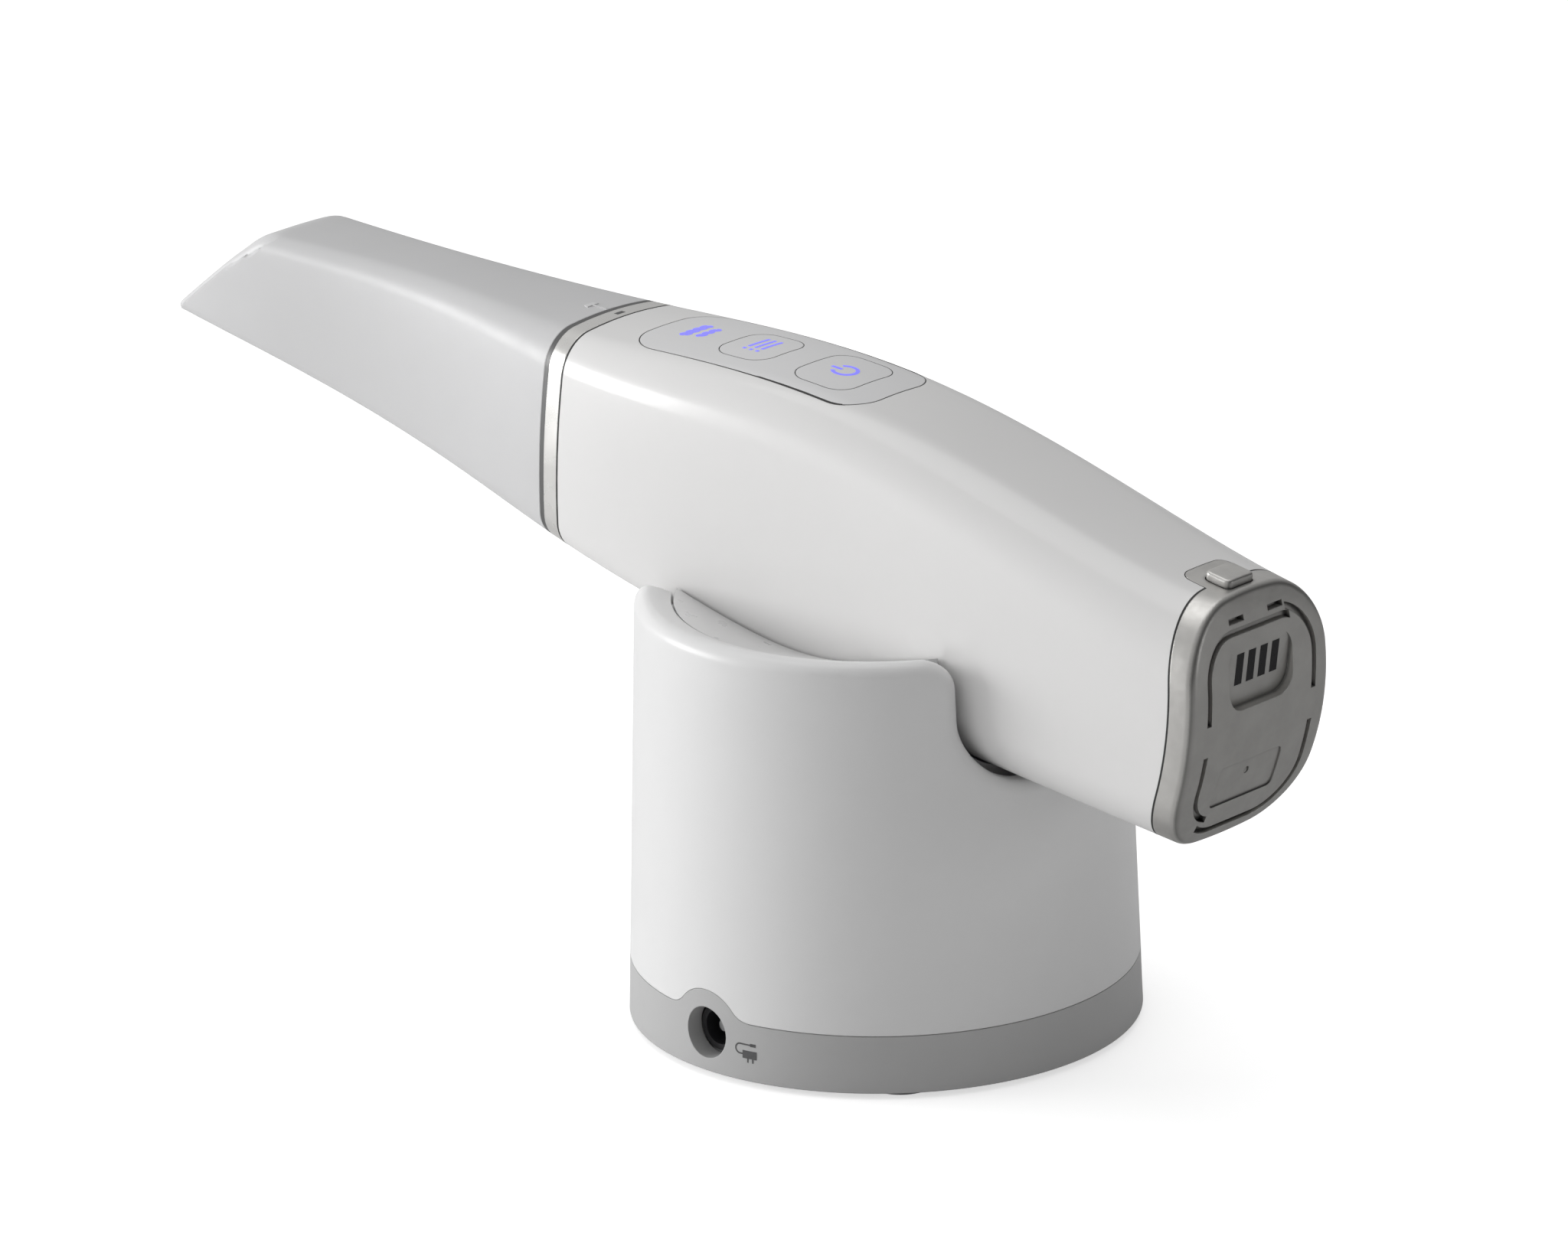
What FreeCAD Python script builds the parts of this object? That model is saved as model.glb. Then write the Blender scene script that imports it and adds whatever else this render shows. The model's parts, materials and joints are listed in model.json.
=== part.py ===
import FreeCAD, Part
import math
import os
import re
import Sketcher
from FreeCAD import Placement, Rotation, Vector

# A wireless intraoral scanner lying across its round charging cradle.
#
# Row frame: millimetres, +Z up, origin on the table under the middle of the whole object. The
# handpiece lies along X, its mirror tip towards -X and its battery towards +X, and the socket faces -Y.
#
# Cradle frame: the cradle is drawn about its own axis, on the table. Every cradle piece then gets the
# same Placement, which stands it cradle_x towards +X. Where the handpiece lies is given in this frame.
#
# Handpiece frame: the handpiece is drawn level, with its origin at the middle of its rear face.
# +X points rearwards, so a station "s" millimetres ahead of the rear face is at x = -s.
# Every handpiece piece then gets the same Placement, which tips it up and sets it on the cradle.

SIZES = {
    # where the cradle stands, and where the handpiece lies on it
    "cradle_x": 36.0,
    "handpiece_tilt": 7.64,
    "rear_x": 77.1,
    "rear_z": 65.2,
    # cross-sections of the handpiece, rear to front: station, half width, top, underside, corners
    "rear_station": -1.0,
    "rear_half_width": 16.9,
    "rear_top": 20.9,
    "rear_under": 21.4,
    "rear_upper_corner": 13.5,
    "rear_lower_corner": 12.5,
    "grip_station": 42.0,
    "grip_half_width": 17.5,
    "grip_top": 25.3,
    "grip_under": 20.8,
    "grip_upper_corner": 10.5,
    "grip_lower_corner": 10.0,
    "hump_station": 84.0,
    "hump_half_width": 17.5,
    "hump_top": 29.1,
    "hump_under": 19.7,
    "hump_upper_corner": 10.0,
    "hump_lower_corner": 9.0,
    "neck_station": 133.0,
    "neck_half_width": 16.0,
    "neck_top": 23.8,
    "neck_under": 14.3,
    "neck_upper_corner": 7.0,
    "neck_lower_corner": 6.0,
    "waist_station": 160.0,
    "waist_half_width": 11.6,
    "waist_top": 21.1,
    "waist_under": 10.9,
    "waist_upper_corner": 5.0,
    "waist_lower_corner": 4.5,
    "reach_station": 190.0,
    "reach_half_width": 9.6,
    "reach_top": 18.4,
    "reach_under": 7.0,
    "reach_upper_corner": 3.6,
    "reach_lower_corner": 3.2,
    "end_station": 231.0,
    "end_half_width": 9.0,
    "end_top": 15.5,
    "end_under": 3.7,
    "end_upper_corner": 3.0,
    "end_lower_corner": 2.6,
    "flat_crown": 75.0,
    "side_crown": 130.0,
    "body_wall": 2.0,
    "tip_wall": 1.3,
    "running_gap": 0.15,
    # rear crown and the joint between battery cap and body
    "crown_radius": 48.0,
    "cap_depth": 4.2,
    "cap_seal_thickness": 0.35,
    "cap_edge_round": 1.5,
    "cap_spigot": 9.4,
    # front joint, leaning forwards at the top
    "ring_station": 133.0,
    "ring_lean": 3.5,
    "gasket_thickness": 0.4,
    "ring_thickness": 3.2,
    "seal_thickness": 1.0,
    # tip end
    "tip_end": 227.6,
    "tip_end_height": 2.3,
    "mirror_thickness": 0.9,
    "scan_window_start": 206.5,
    "scan_window_end": 219.5,
    "scan_window_half_width": 6.0,
    # button panel and buttons
    "panel_rear": 77.0,
    "panel_front": 126.0,
    "panel_half_width": 10.2,
    "panel_corner": 6.0,
    "panel_thickness": 1.3,
    "panel_gap": 0.2,
    "mode_station": 105.9,
    "mode_half_length": 5.3,
    "mode_half_width": 6.3,
    "power_station": 88.5,
    "power_half_length": 5.9,
    "power_half_width": 7.1,
    "button_corner": 3.6,
    "button_travel": 0.4,
    "icon_station": 119.0,
    # boards under the panel
    "button_board_height": 19.3,
    "board_thickness": 1.0,
    "switch_height": 4.1,
    # battery pack
    "casing_half_width": 13.3,
    "casing_top": 12.6,
    "casing_under": 15.0,
    "casing_corner": 6.0,
    "casing_wall": 1.2,
    "casing_front": 57.0,
    "bay_wall": 0.9,
    "bay_front": 60.5,
    "gauge_floor": 1.7,
    "groove_width": 1.1,
    "groove_depth": 1.0,
    "label_depth": 0.25,
    "gauge_bar_width": 1.75,
    "gauge_bar_pitch": 2.85,
    "gauge_bar_low": 6.7,
    "gauge_bar_high": 11.9,
    "tongue_front": 14.2,
    "tongue_half_width": 5.2,
    "latch_rear": 6.2,
    "latch_front": 11.2,
    "latch_half_width": 3.2,
    "latch_rise": 1.2,
    # optics
    "camera_height": 8.8,
    "camera_radius": 4.6,
    "projector_height": -0.6,
    "projector_radius": 3.6,
    "nose_front": 168.0,
    "nose_wall": 1.2,
    # cradle
    "foot_height": 1.0,
    "base_radius": 41.4,
    "draft_angle": 1.94,
    "band_top": 10.5,
    "rim_height": 70.9,
    "rim_round": 2.2,
    "shoulder_round": 5.0,
    "cradle_wall": 3.0,
    "lip_radius": 33.2,
    "ledge_height": 60.5,
    "ledge_radius": 34.6,
    "dish_slope": 19.0,
    "channel_half_width": 18.6,
    "channel_corner": 10.0,
    "channel_rear_depth": 22.7,
    "channel_lean": 2.2,
    "saddle_gap": 0.35,
    "contact_top": 54.8,
    # socket
    "socket_angle": -2.5,
    "socket_height": 7.3,
    "socket_hole": 4.2,
    "hump_round": 7.1,
    "jack_bore": 2.85,
    "jack_pin_radius": 1.0,
    # fixings
    "plate_thickness": 2.4,
    "screw_x": 30.6,
    "screw_y": 17.9,
    "screw_shank": 1.25,
    "foot_ring": 34.0,
    "foot_radius": 5.5,
}
STATIONS = ["rear", "grip", "hump", "neck", "waist", "reach", "end"]

doc = FreeCAD.newDocument("intraoral_scanner")
sheet = doc.addObject("Spreadsheet::Sheet", "Sizes")
for row, (alias, size) in enumerate(SIZES.items(), start=1):
    sheet.set(f"A{row}", alias.replace("_", " "))
    sheet.set(f"B{row}", str(size))
    sheet.setAlias(f"B{row}", alias)
doc.recompute()

nodes = []


# ---- formulas -------------------------------------------------------------------------------
def formula(text):
    """A formula written with the sheet's aliases, as FreeCAD wants it."""
    return re.sub(r"[a-z]+(?:_[a-z]+)+", lambda word: "Sizes." + word.group(), str(text))


def value(text):
    """The number that a formula gives now."""
    return float(sheet.evalExpression(formula(text)))


def bind(sketch, constraint, text):
    sketch.setExpression(f"Constraints[{sketch.addConstraint(constraint)}]", formula(text))


# ---- sketches -------------------------------------------------------------------------------
def new_body(label):
    body = doc.addObject("PartDesign::Body", label)
    body.Label = label
    return body


def new_sketch(body, role, offset="0"):
    """A sketch on one of the body's own origin planes, shifted along the plane's normal."""
    sketch = body.newObject("Sketcher::SketchObject", "outline")
    plane = next(item for item in body.Origin.OriginFeatures if item.Role == role)
    sketch.AttachmentSupport = [(plane, "")]
    sketch.MapMode = "FlatFace"
    sketch.setExpression("AttachmentOffset.Base.z", formula(offset))
    return sketch


def fix_point(sketch, piece, end, across, up):
    """Hold one point of the sketch at a place given from its origin."""
    x_now = value(across)
    y_now = value(up)
    bind(sketch, Sketcher.Constraint("DistanceX", -1, 1, piece, end, x_now), across)
    bind(sketch, Sketcher.Constraint("DistanceY", -1, 1, piece, end, y_now), up)


def circle(sketch, across, up, radius):
    centre = Vector(value(across), value(up), 0)
    piece = sketch.addGeometry(Part.Circle(centre, Vector(0, 0, 1), value(radius)), False)
    fix_point(sketch, piece, 3, across, up)
    bind(sketch, Sketcher.Constraint("Radius", piece, value(radius)), radius)
    return piece


def polygon(sketch, corners):
    """A closed outline of straight lines between corners given as formulas."""
    points = [Vector(value(across), value(up), 0) for across, up in corners]
    first = sketch.GeometryCount
    count = len(points)
    for index in range(count):
        sketch.addGeometry(Part.LineSegment(points[index], points[(index + 1) % count]), False)
    for index, (across, up) in enumerate(corners):
        following = first + (index + 1) % count
        sketch.addConstraint(Sketcher.Constraint("Coincident", first + index, 2, following, 1))
        fix_point(sketch, first + index, 1, across, up)


def rectangle(sketch, left, right, low, high):
    polygon(sketch, [(left, low), (right, low), (right, high), (left, high)])


def rounded_rectangle(sketch, left, right, low, high, corner):
    x0, x1, y0, y1, radius = (value(item) for item in (left, right, low, high, corner))
    first = sketch.GeometryCount
    # each side, then the corner that follows it, anticlockwise from the lower side
    sides = [
        (Vector(x0 + radius, y0, 0), Vector(x1 - radius, y0, 0), Vector(x1 - radius, y0 + radius, 0), -90),
        (Vector(x1, y0 + radius, 0), Vector(x1, y1 - radius, 0), Vector(x1 - radius, y1 - radius, 0), 0),
        (Vector(x1 - radius, y1, 0), Vector(x0 + radius, y1, 0), Vector(x0 + radius, y1 - radius, 0), 90),
        (Vector(x0, y1 - radius, 0), Vector(x0, y0 + radius, 0), Vector(x0 + radius, y0 + radius, 0), 180),
    ]
    for start, end, centre, turn in sides:
        sketch.addGeometry(Part.LineSegment(start, end), False)
        add_arc(sketch, (centre.x, centre.y), radius, math.radians(turn), math.radians(turn + 90))
    for piece in range(8):
        following = first + (piece + 1) % 8
        sketch.addConstraint(Sketcher.Constraint("Tangent", first + piece, 2, following, 1))
    for side, direction in enumerate(["Horizontal", "Vertical", "Horizontal", "Vertical"]):
        sketch.addConstraint(Sketcher.Constraint(direction, first + 2 * side))
    for corner_arc in (3, 5, 7):
        sketch.addConstraint(Sketcher.Constraint("Equal", first + 1, first + corner_arc))
    bind(sketch, Sketcher.Constraint("Radius", first + 1, radius), corner)
    bind(sketch, Sketcher.Constraint("DistanceY", -1, 1, first, 1, y0), low)
    bind(sketch, Sketcher.Constraint("DistanceX", -1, 1, first + 2, 1, x1), right)
    bind(sketch, Sketcher.Constraint("DistanceY", -1, 1, first + 4, 1, y1), high)
    bind(sketch, Sketcher.Constraint("DistanceX", -1, 1, first + 6, 1, x0), left)


def add_arc(sketch, centre, radius, start, end):
    base = Part.Circle(Vector(centre[0], centre[1], 0), Vector(0, 0, 1), radius)
    return sketch.addGeometry(Part.ArcOfCircle(base, start, end), False)


def corner_centre(flat_centre, flat_reach, side_centre, side_reach, upwards):
    """Centre of a corner arc: a given distance from both of its neighbours' centres."""
    gap_x = side_centre[0] - flat_centre[0]
    gap_y = side_centre[1] - flat_centre[1]
    apart = math.hypot(gap_x, gap_y)
    along = (flat_reach**2 - side_reach**2 + apart**2) / (2 * apart)
    off = math.sqrt(flat_reach**2 - along**2)
    choices = []
    for sign in (1, -1):
        across = flat_centre[0] + (along * gap_x - sign * off * gap_y) / apart
        up = flat_centre[1] + (along * gap_y + sign * off * gap_x) / apart
        choices.append((across, up))
    wanted = [point for point in choices if (point[1] > side_centre[1]) == upwards]
    return max(wanted, key=lambda point: point[0])


def section(body, station, inset):
    """One cross-section of the handpiece, every wall moved inwards by inset: eight tangent arcs."""
    names = {
        "half": f"{station}_half_width - ({inset})",
        "top": f"{station}_top - ({inset})",
        "under": f"{station}_under - ({inset})",
        "upper": f"{station}_upper_corner - ({inset})",
        "lower": f"{station}_lower_corner - ({inset})",
        "flat": f"flat_crown - ({inset})",
        "side": f"side_crown - ({inset})",
        "middle": f"({station}_top - {station}_under) / 2",
    }
    size = {key: value(text) for key, text in names.items()}
    top_centre = (0.0, size["top"] - size["flat"])
    under_centre = (0.0, size["flat"] - size["under"])
    side_centre = (size["half"] - size["side"], size["middle"])
    upper = corner_centre(
        top_centre, size["flat"] - size["upper"], side_centre, size["side"] - size["upper"], True
    )
    lower = corner_centre(
        under_centre, size["flat"] - size["lower"], side_centre, size["side"] - size["lower"], False
    )
    side_up = math.atan2(upper[1] - side_centre[1], upper[0] - side_centre[0])
    top_right = math.atan2(upper[1] - top_centre[1], upper[0])
    side_down = math.atan2(lower[1] - side_centre[1], lower[0] - side_centre[0])
    under_right = math.atan2(lower[1] - under_centre[1], lower[0])
    half_turn = math.pi
    sketch = new_sketch(body, "YZ_Plane", f"-{station}_station")
    # anticlockwise from the right side: side, corner, top, corner, side, corner, underside, corner
    right = add_arc(sketch, side_centre, size["side"], side_down, side_up)
    add_arc(sketch, upper, size["upper"], side_up, top_right)
    top = add_arc(sketch, top_centre, size["flat"], top_right, half_turn - top_right)
    add_arc(sketch, (-upper[0], upper[1]), size["upper"], half_turn - top_right, half_turn - side_up)
    mirrored = (-side_centre[0], side_centre[1])
    left = add_arc(sketch, mirrored, size["side"], half_turn - side_up, half_turn - side_down)
    add_arc(sketch, (-lower[0], lower[1]), size["lower"], half_turn - side_down, half_turn - under_right)
    under = add_arc(sketch, under_centre, size["flat"], half_turn - under_right, under_right + 2 * half_turn)
    add_arc(sketch, lower, size["lower"], under_right, side_down)
    for piece in range(8):
        sketch.addConstraint(Sketcher.Constraint("Tangent", piece, 2, (piece + 1) % 8, 1))
    for piece, key in [(0, "side"), (1, "upper"), (2, "flat"), (3, "upper")]:
        bind(sketch, Sketcher.Constraint("Radius", piece, size[key]), names[key])
    for piece, key in [(4, "side"), (5, "lower"), (6, "flat"), (7, "lower")]:
        bind(sketch, Sketcher.Constraint("Radius", piece, size[key]), names[key])
    fix_point(sketch, top, 3, "0", f"{names['top']} - ({names['flat']})")
    fix_point(sketch, under, 3, "0", f"{names['flat']} - ({names['under']})")
    fix_point(sketch, right, 3, f"{names['half']} - ({names['side']})", names["middle"])
    fix_point(sketch, left, 3, f"{names['side']} - ({names['half']})", names["middle"])
    return sketch


# ---- features and booleans ------------------------------------------------------------------
def pad(body, sketch, length, both_ways=False):
    feature = body.newObject("PartDesign::Pad", "pad")
    feature.Profile = sketch
    feature.SideType = "Symmetric" if both_ways else "One side"
    feature.setExpression("Length", formula(length))
    return feature


def pocket(body, sketch, length):
    """Cuts half the length to each side of the sketch, so its direction can't miss the solid."""
    feature = body.newObject("PartDesign::Pocket", "pocket")
    feature.Profile = sketch
    feature.SideType = "Symmetric"
    feature.setExpression("Length", formula(length))
    return feature


def block(label, rear, front, left, right, low, high, corner=None):
    """A level plate or block in the handpiece, between two stations, two sides and two heights."""
    body = new_body(label)
    sketch = new_sketch(body, "XY_Plane", low)
    ends = (f"-({front})", f"-({rear})")
    if corner is None:
        rectangle(sketch, ends[0], ends[1], left, right)
    else:
        rounded_rectangle(sketch, ends[0], ends[1], left, right, corner)
    pad(body, sketch, f"({high}) - ({low})")
    return body


def upright(label, rear, front, left, right, low, high, corner=None):
    """A block whose outline is seen along the handpiece, from one station to another."""
    body = new_body(label)
    sketch = new_sketch(body, "YZ_Plane", f"-({front})")
    if corner is None:
        rectangle(sketch, left, right, low, high)
    else:
        rounded_rectangle(sketch, left, right, low, high, corner)
    pad(body, sketch, f"({front}) - ({rear})")
    return body


def rod(label, role, start, end, across, up, radius, bore=None):
    """A round bar along the normal of an origin plane, with an optional bore."""
    body = new_body(label)
    sketch = new_sketch(body, role, start)
    circle(sketch, across, up, radius)
    if bore is not None:
        circle(sketch, across, up, bore)
    pad(body, sketch, f"({end}) - ({start})")
    return body


def spin(label, corners):
    """A turned piece: corners are radius and height, spun about the Z axis."""
    body = new_body(label)
    sketch = new_sketch(body, "XZ_Plane")
    polygon(sketch, corners)
    feature = body.newObject("PartDesign::Revolution", "turn")
    feature.Profile = sketch
    feature.ReferenceAxis = (sketch, ["V_Axis"])
    feature.Angle = 360
    return body


def side_slab(label, corners):
    """A slab as wide as the whole handpiece, its outline drawn from the side."""
    body = new_body(label)
    sketch = new_sketch(body, "XZ_Plane")
    polygon(sketch, corners)
    pad(body, sketch, "80", both_ways=True)
    return body


def join(kind, label, base, tool):
    result = doc.addObject(f"Part::{kind}", label)
    result.Base = base
    result.Tool = tool
    return result


def cut(label, base, *tools):
    for tool in tools:
        base = join("Cut", label, base, tool)
    return base


def common(label, base, tool):
    return join("Common", label, base, tool)


def fuse(label, base, *others):
    for other in others:
        base = join("Fuse", label, base, other)
    return base


def group(label, pieces):
    """Several identical pieces that share one node, as separate solids."""
    compound = doc.addObject("Part::Compound", label)
    compound.Links = pieces
    return compound


def fillet(label, base, radius, chosen):
    """Rounds the edges of base that the test picks."""
    doc.recompute()
    rounded = doc.addObject("Part::Fillet", label)
    rounded.Base = base
    size = value(radius)
    rounded.Edges = [
        (number, size, size) for number, edge in enumerate(base.Shape.Edges, start=1) if chosen(edge)
    ]
    return rounded


def node(label, piece):
    """Makes a finished piece a node, standing where the cradle stands."""
    piece.Label = label
    piece.setExpression("Placement.Base.x", formula("cradle_x"))
    nodes.append(piece)
    return piece


def handpiece_node(label, piece):
    """Makes a finished piece a node of the handpiece, tipped up and set on the cradle."""
    node(label, piece)
    tip_up(piece)
    piece.setExpression("Placement.Base.x", formula("cradle_x + rear_x"))
    return piece


def tip_up(piece):
    """Sets a piece drawn in the handpiece frame on the cradle, in the cradle frame."""
    piece.Placement = Placement(Vector(), Rotation(Vector(0, 1, 0), value("handpiece_tilt")))
    piece.setExpression("Placement.Base.x", formula("rear_x"))
    piece.setExpression("Placement.Base.z", formula("rear_z"))
    piece.setExpression("Placement.Rotation.Angle", formula("handpiece_tilt"))
    return piece


def loft(label, stations, inset):
    body = new_body(label)
    outlines = [section(body, station, inset) for station in stations]
    feature = body.newObject("PartDesign::AdditiveLoft", "loft")
    feature.Profile = outlines[0]
    feature.Sections = outlines[1:]
    return body


# ---- shared tools: the handpiece's outer form and the cuts across it --------------------------
envelope = loft("envelope", STATIONS, "0")
cavity = loft("cavity", STATIONS[:5], "body_wall")
panel_floor = loft("panel_floor", STATIONS[:5], "panel_thickness")
tip_inside = loft("tip_inside", STATIONS[2:], "tip_wall")
spigot_form = loft("spigot_form", STATIONS[:5], "body_wall + running_gap")
raised_form = loft("raised_form", STATIONS[:5], "-latch_rise")
FAR = "40"


def crown(label, depth):
    """The rear crown's cylinder, lying across the handpiece, moved in by depth."""
    body = new_body(label)
    sketch = new_sketch(body, "XZ_Plane")
    circle(sketch, f"-(crown_radius + {depth})", "0", "crown_radius")
    pad(body, sketch, "80", both_ways=True)
    return body


def leaning_slab(label, rear, front):
    """A slab between two planes that lean forwards at the top by the ring's lean."""
    lean = f"{FAR} * tan(ring_lean)"
    corners = [
        (f"-({rear}) - {lean}", FAR),
        (f"-({front}) - {lean}", FAR),
        (f"-({front}) + {lean}", f"-{FAR}"),
        (f"-({rear}) + {lean}", f"-{FAR}"),
    ]
    return side_slab(label, corners)


rear_crown = crown("rear_crown", "0")
joint_crown = crown("joint_crown", "cap_depth")
seal_crown = crown("seal_crown", "cap_depth + cap_seal_thickness")


def behind(label, joint):
    """Everything behind one of the curved joints at the rear."""
    return cut(label, block(f"{label}_block", "-10", "50", "-30", "30", "-30", "35"), joint)


BEZEL = "ring_station + gasket_thickness"
SEAL = f"{BEZEL} + ring_thickness"
TIP = f"{SEAL} + seal_thickness"


def panel_prism(label, grow):
    """The panel's outline, carried straight up through the body's top."""
    return block(
        label,
        f"panel_rear - ({grow})",
        f"panel_front + {grow}",
        f"-panel_half_width - ({grow})",
        f"panel_half_width + {grow}",
        "16",
        FAR,
        f"panel_corner + {grow}",
    )


def button_prism(label, name, grow, low="16"):
    return block(
        label,
        f"{name}_station - {name}_half_length - ({grow})",
        f"{name}_station + {name}_half_length + {grow}",
        f"-{name}_half_width - ({grow})",
        f"{name}_half_width + {grow}",
        low,
        FAR,
        f"button_corner + {grow}",
    )


def tongue_prism(label, grow):
    return block(
        label,
        "1.5",
        f"tongue_front + {grow}",
        f"-tongue_half_width - ({grow})",
        f"tongue_half_width + {grow}",
        "10",
        FAR,
        f"2 + {grow}",
    )


# ---- handpiece body --------------------------------------------------------------------------
def make_body_shell():
    rear_waste = behind("rear_waste", seal_crown)
    front_waste = leaning_slab("front_waste", "ring_station", "260")
    blank = cut("body_blank", envelope, rear_waste, front_waste, cavity)
    seat = cut("panel_seat", panel_prism("panel_opening", "panel_gap"), panel_floor)
    openings = [
        button_prism("mode_well", "mode", "running_gap"),
        button_prism("power_well", "power", "running_gap"),
        block("light_well", "icon_station - 3.2", "icon_station + 3.2", "-5.2", "5.2", "16", FAR),
    ]
    notch = tongue_prism("tongue_notch", "running_gap")
    pads = charge_pad_bars("pad_holes")
    handpiece_node("body_shell", cut("shell_cut", blank, seat, *openings, notch, *pads))


def charge_pad_bars(label):
    """Three upright bars that mark the charging pads on the underside."""
    return [
        rod(f"{label}_{index}", "XY_Plane", "-26", "-10", "-75.2", str(6 * (index - 1)), "1.8")
        for index in range(3)
    ]


def make_charge_pads():
    shell = cut("underside_skin", envelope, cavity)
    pads = [common(f"pad_{index}", bar, shell) for index, bar in enumerate(charge_pad_bars("pad_bar"))]
    handpiece_node("charge_pads", group("pad_group", pads))


def make_front_joint():
    opening = upright("nose_opening", "120", "150", "-10.3", "10.3", "-7.4", "17.4", "4")
    bands = [
        ("bezel_gasket", "ring_station", BEZEL),
        ("bezel_ring", BEZEL, SEAL),
        ("tip_seal", SEAL, TIP),
    ]
    for name, rear, front in bands:
        band = common(f"{name}_band", envelope, leaning_slab(f"{name}_slab", rear, front))
        handpiece_node(name, cut(f"{name}_cut", band, opening))


def make_button_panel():
    holes = [
        button_prism("mode_hole", "mode", "running_gap"),
        button_prism("power_hole", "power", "running_gap"),
    ]
    blank = common("panel_blank", envelope, panel_prism("panel_outline", "0"))
    handpiece_node("button_panel", cut("panel_cut", blank, panel_floor, *holes))


def make_button(name):
    """A button cap flush with the panel, with a stem that stops one travel above its switch."""
    face = common(f"{name}_face", envelope, button_prism(f"{name}_prism", name, "0"))
    cap = cut(f"{name}_cap", face, panel_floor)
    stem_low = "button_board_height + board_thickness + switch_height + button_travel + 0.1"
    stem = rod(f"{name}_stem", "XY_Plane", stem_low, FAR, f"-{name}_station", "0", "2")
    inside = common(f"{name}_stem_cut", stem, panel_floor)
    handpiece_node(f"{name}_button", fuse(f"{name}_whole", cap, inside))


# ---- electronics under the panel ---------------------------------------------------------------
BOARD_TOP = "button_board_height + board_thickness"


def make_button_electronics():
    board = block("button_plate", "60.8", "124", "-8.5", "8.5", "button_board_height", BOARD_TOP, "1")
    handpiece_node("button_board", board)
    switches = []
    for name in ("mode", "power"):
        body = block(
            f"{name}_switch",
            f"{name}_station - 3",
            f"{name}_station + 3",
            "-3",
            "3",
            BOARD_TOP,
            f"{BOARD_TOP} + switch_height - 0.8",
        )
        sketch = new_sketch(body, "XY_Plane", f"{BOARD_TOP} + switch_height - 0.8")
        circle(sketch, f"-{name}_station", "0", "1.5")
        pad(body, sketch, "0.8")
        switches.append(body)
    handpiece_node("tact_switches", group("switch_group", switches))
    lamps = [
        block(f"lamp_{index}", f"{station} - 0.8", f"{station} + 0.8", left, f"{left} + 1.2", BOARD_TOP,
              f"{BOARD_TOP} + 0.6")
        for index, (station, left) in enumerate(
            [("icon_station", "-0.6"), ("mode_station", "4.4"), ("power_station", "4.4")]
        )
    ]
    handpiece_node("indicator_leds", group("lamp_group", lamps))
    guide = block(
        "guide_block", "icon_station - 3", "icon_station + 3", "-5", "5", f"{BOARD_TOP} + 0.7", FAR, "1"
    )
    handpiece_node("icon_light_guide", common("guide_cut", guide, panel_floor))


# ---- optics ------------------------------------------------------------------------------------
def make_nose():
    """A tapered rectangular tube that the tip slides over, with its window at the front."""
    body = new_body("nose_barrel")
    half_widths = ["9.9", "7.2"]
    lows = ["-6.9", "-4.4"]
    highs = ["16.9", "13.4"]
    stations = ["124.2", "nose_front"]
    for kind, inset in [("AdditiveLoft", "0"), ("SubtractiveLoft", "nose_wall")]:
        outlines = []
        for half, low, high, station in zip(half_widths, lows, highs, stations):
            sketch = new_sketch(body, "YZ_Plane", f"-({station})")
            rounded_rectangle(
                sketch,
                f"-{half} + {inset}",
                f"{half} - ({inset})",
                f"{low} + {inset}",
                f"{high} - ({inset})",
                f"3 - ({inset})",
            )
            outlines.append(sketch)
        feature = body.newObject(f"PartDesign::{kind}", "taper")
        feature.Profile = outlines[0]
        feature.Sections = outlines[1:]
    handpiece_node("nose_barrel", body)
    glass = upright(
        "window_glass", "nose_front - 1.6", "nose_front - 0.2", "-5.95", "5.95", "-3.15", "12.1", "1.7"
    )
    handpiece_node("front_window", glass)


def make_optics():
    camera = ("-150", "-118", "0", "camera_height")
    barrel = rod("camera_barrel", "YZ_Plane", *camera, "camera_radius", "camera_radius - 0.8")
    handpiece_node("lens_barrel", barrel)
    lens = rod("camera_lens", "YZ_Plane", "-149.6", "-147", "0", "camera_height", "camera_radius - 0.82")
    handpiece_node("objective_lens", lens)
    board = upright("camera_plate", "114.5", "115.7", "-7.5", "7.5", "4.6", "16")
    handpiece_node("camera_board", board)
    sensor = upright("sensor_chip", "115.7", "117", "-4", "4", "camera_height - 3.2", "camera_height + 3.2")
    handpiece_node("image_sensor", sensor)
    housing = block("projector_block", "98", "118", "-7", "7", "-6.6", "3.6", "1.2")
    tube = new_sketch(housing, "YZ_Plane", "-146")
    circle(tube, "0", "projector_height", "projector_radius")
    pad(housing, tube, "29")
    bore = new_sketch(housing, "YZ_Plane", "-146")
    circle(bore, "0", "projector_height", "projector_radius - 0.7")
    pocket(housing, bore, "60")
    handpiece_node("projector_housing", housing)
    glass = rod(
        "projector_glass", "YZ_Plane", "-145.6", "-143", "0", "projector_height", "projector_radius - 0.72"
    )
    handpiece_node("projector_lens", glass)


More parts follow.
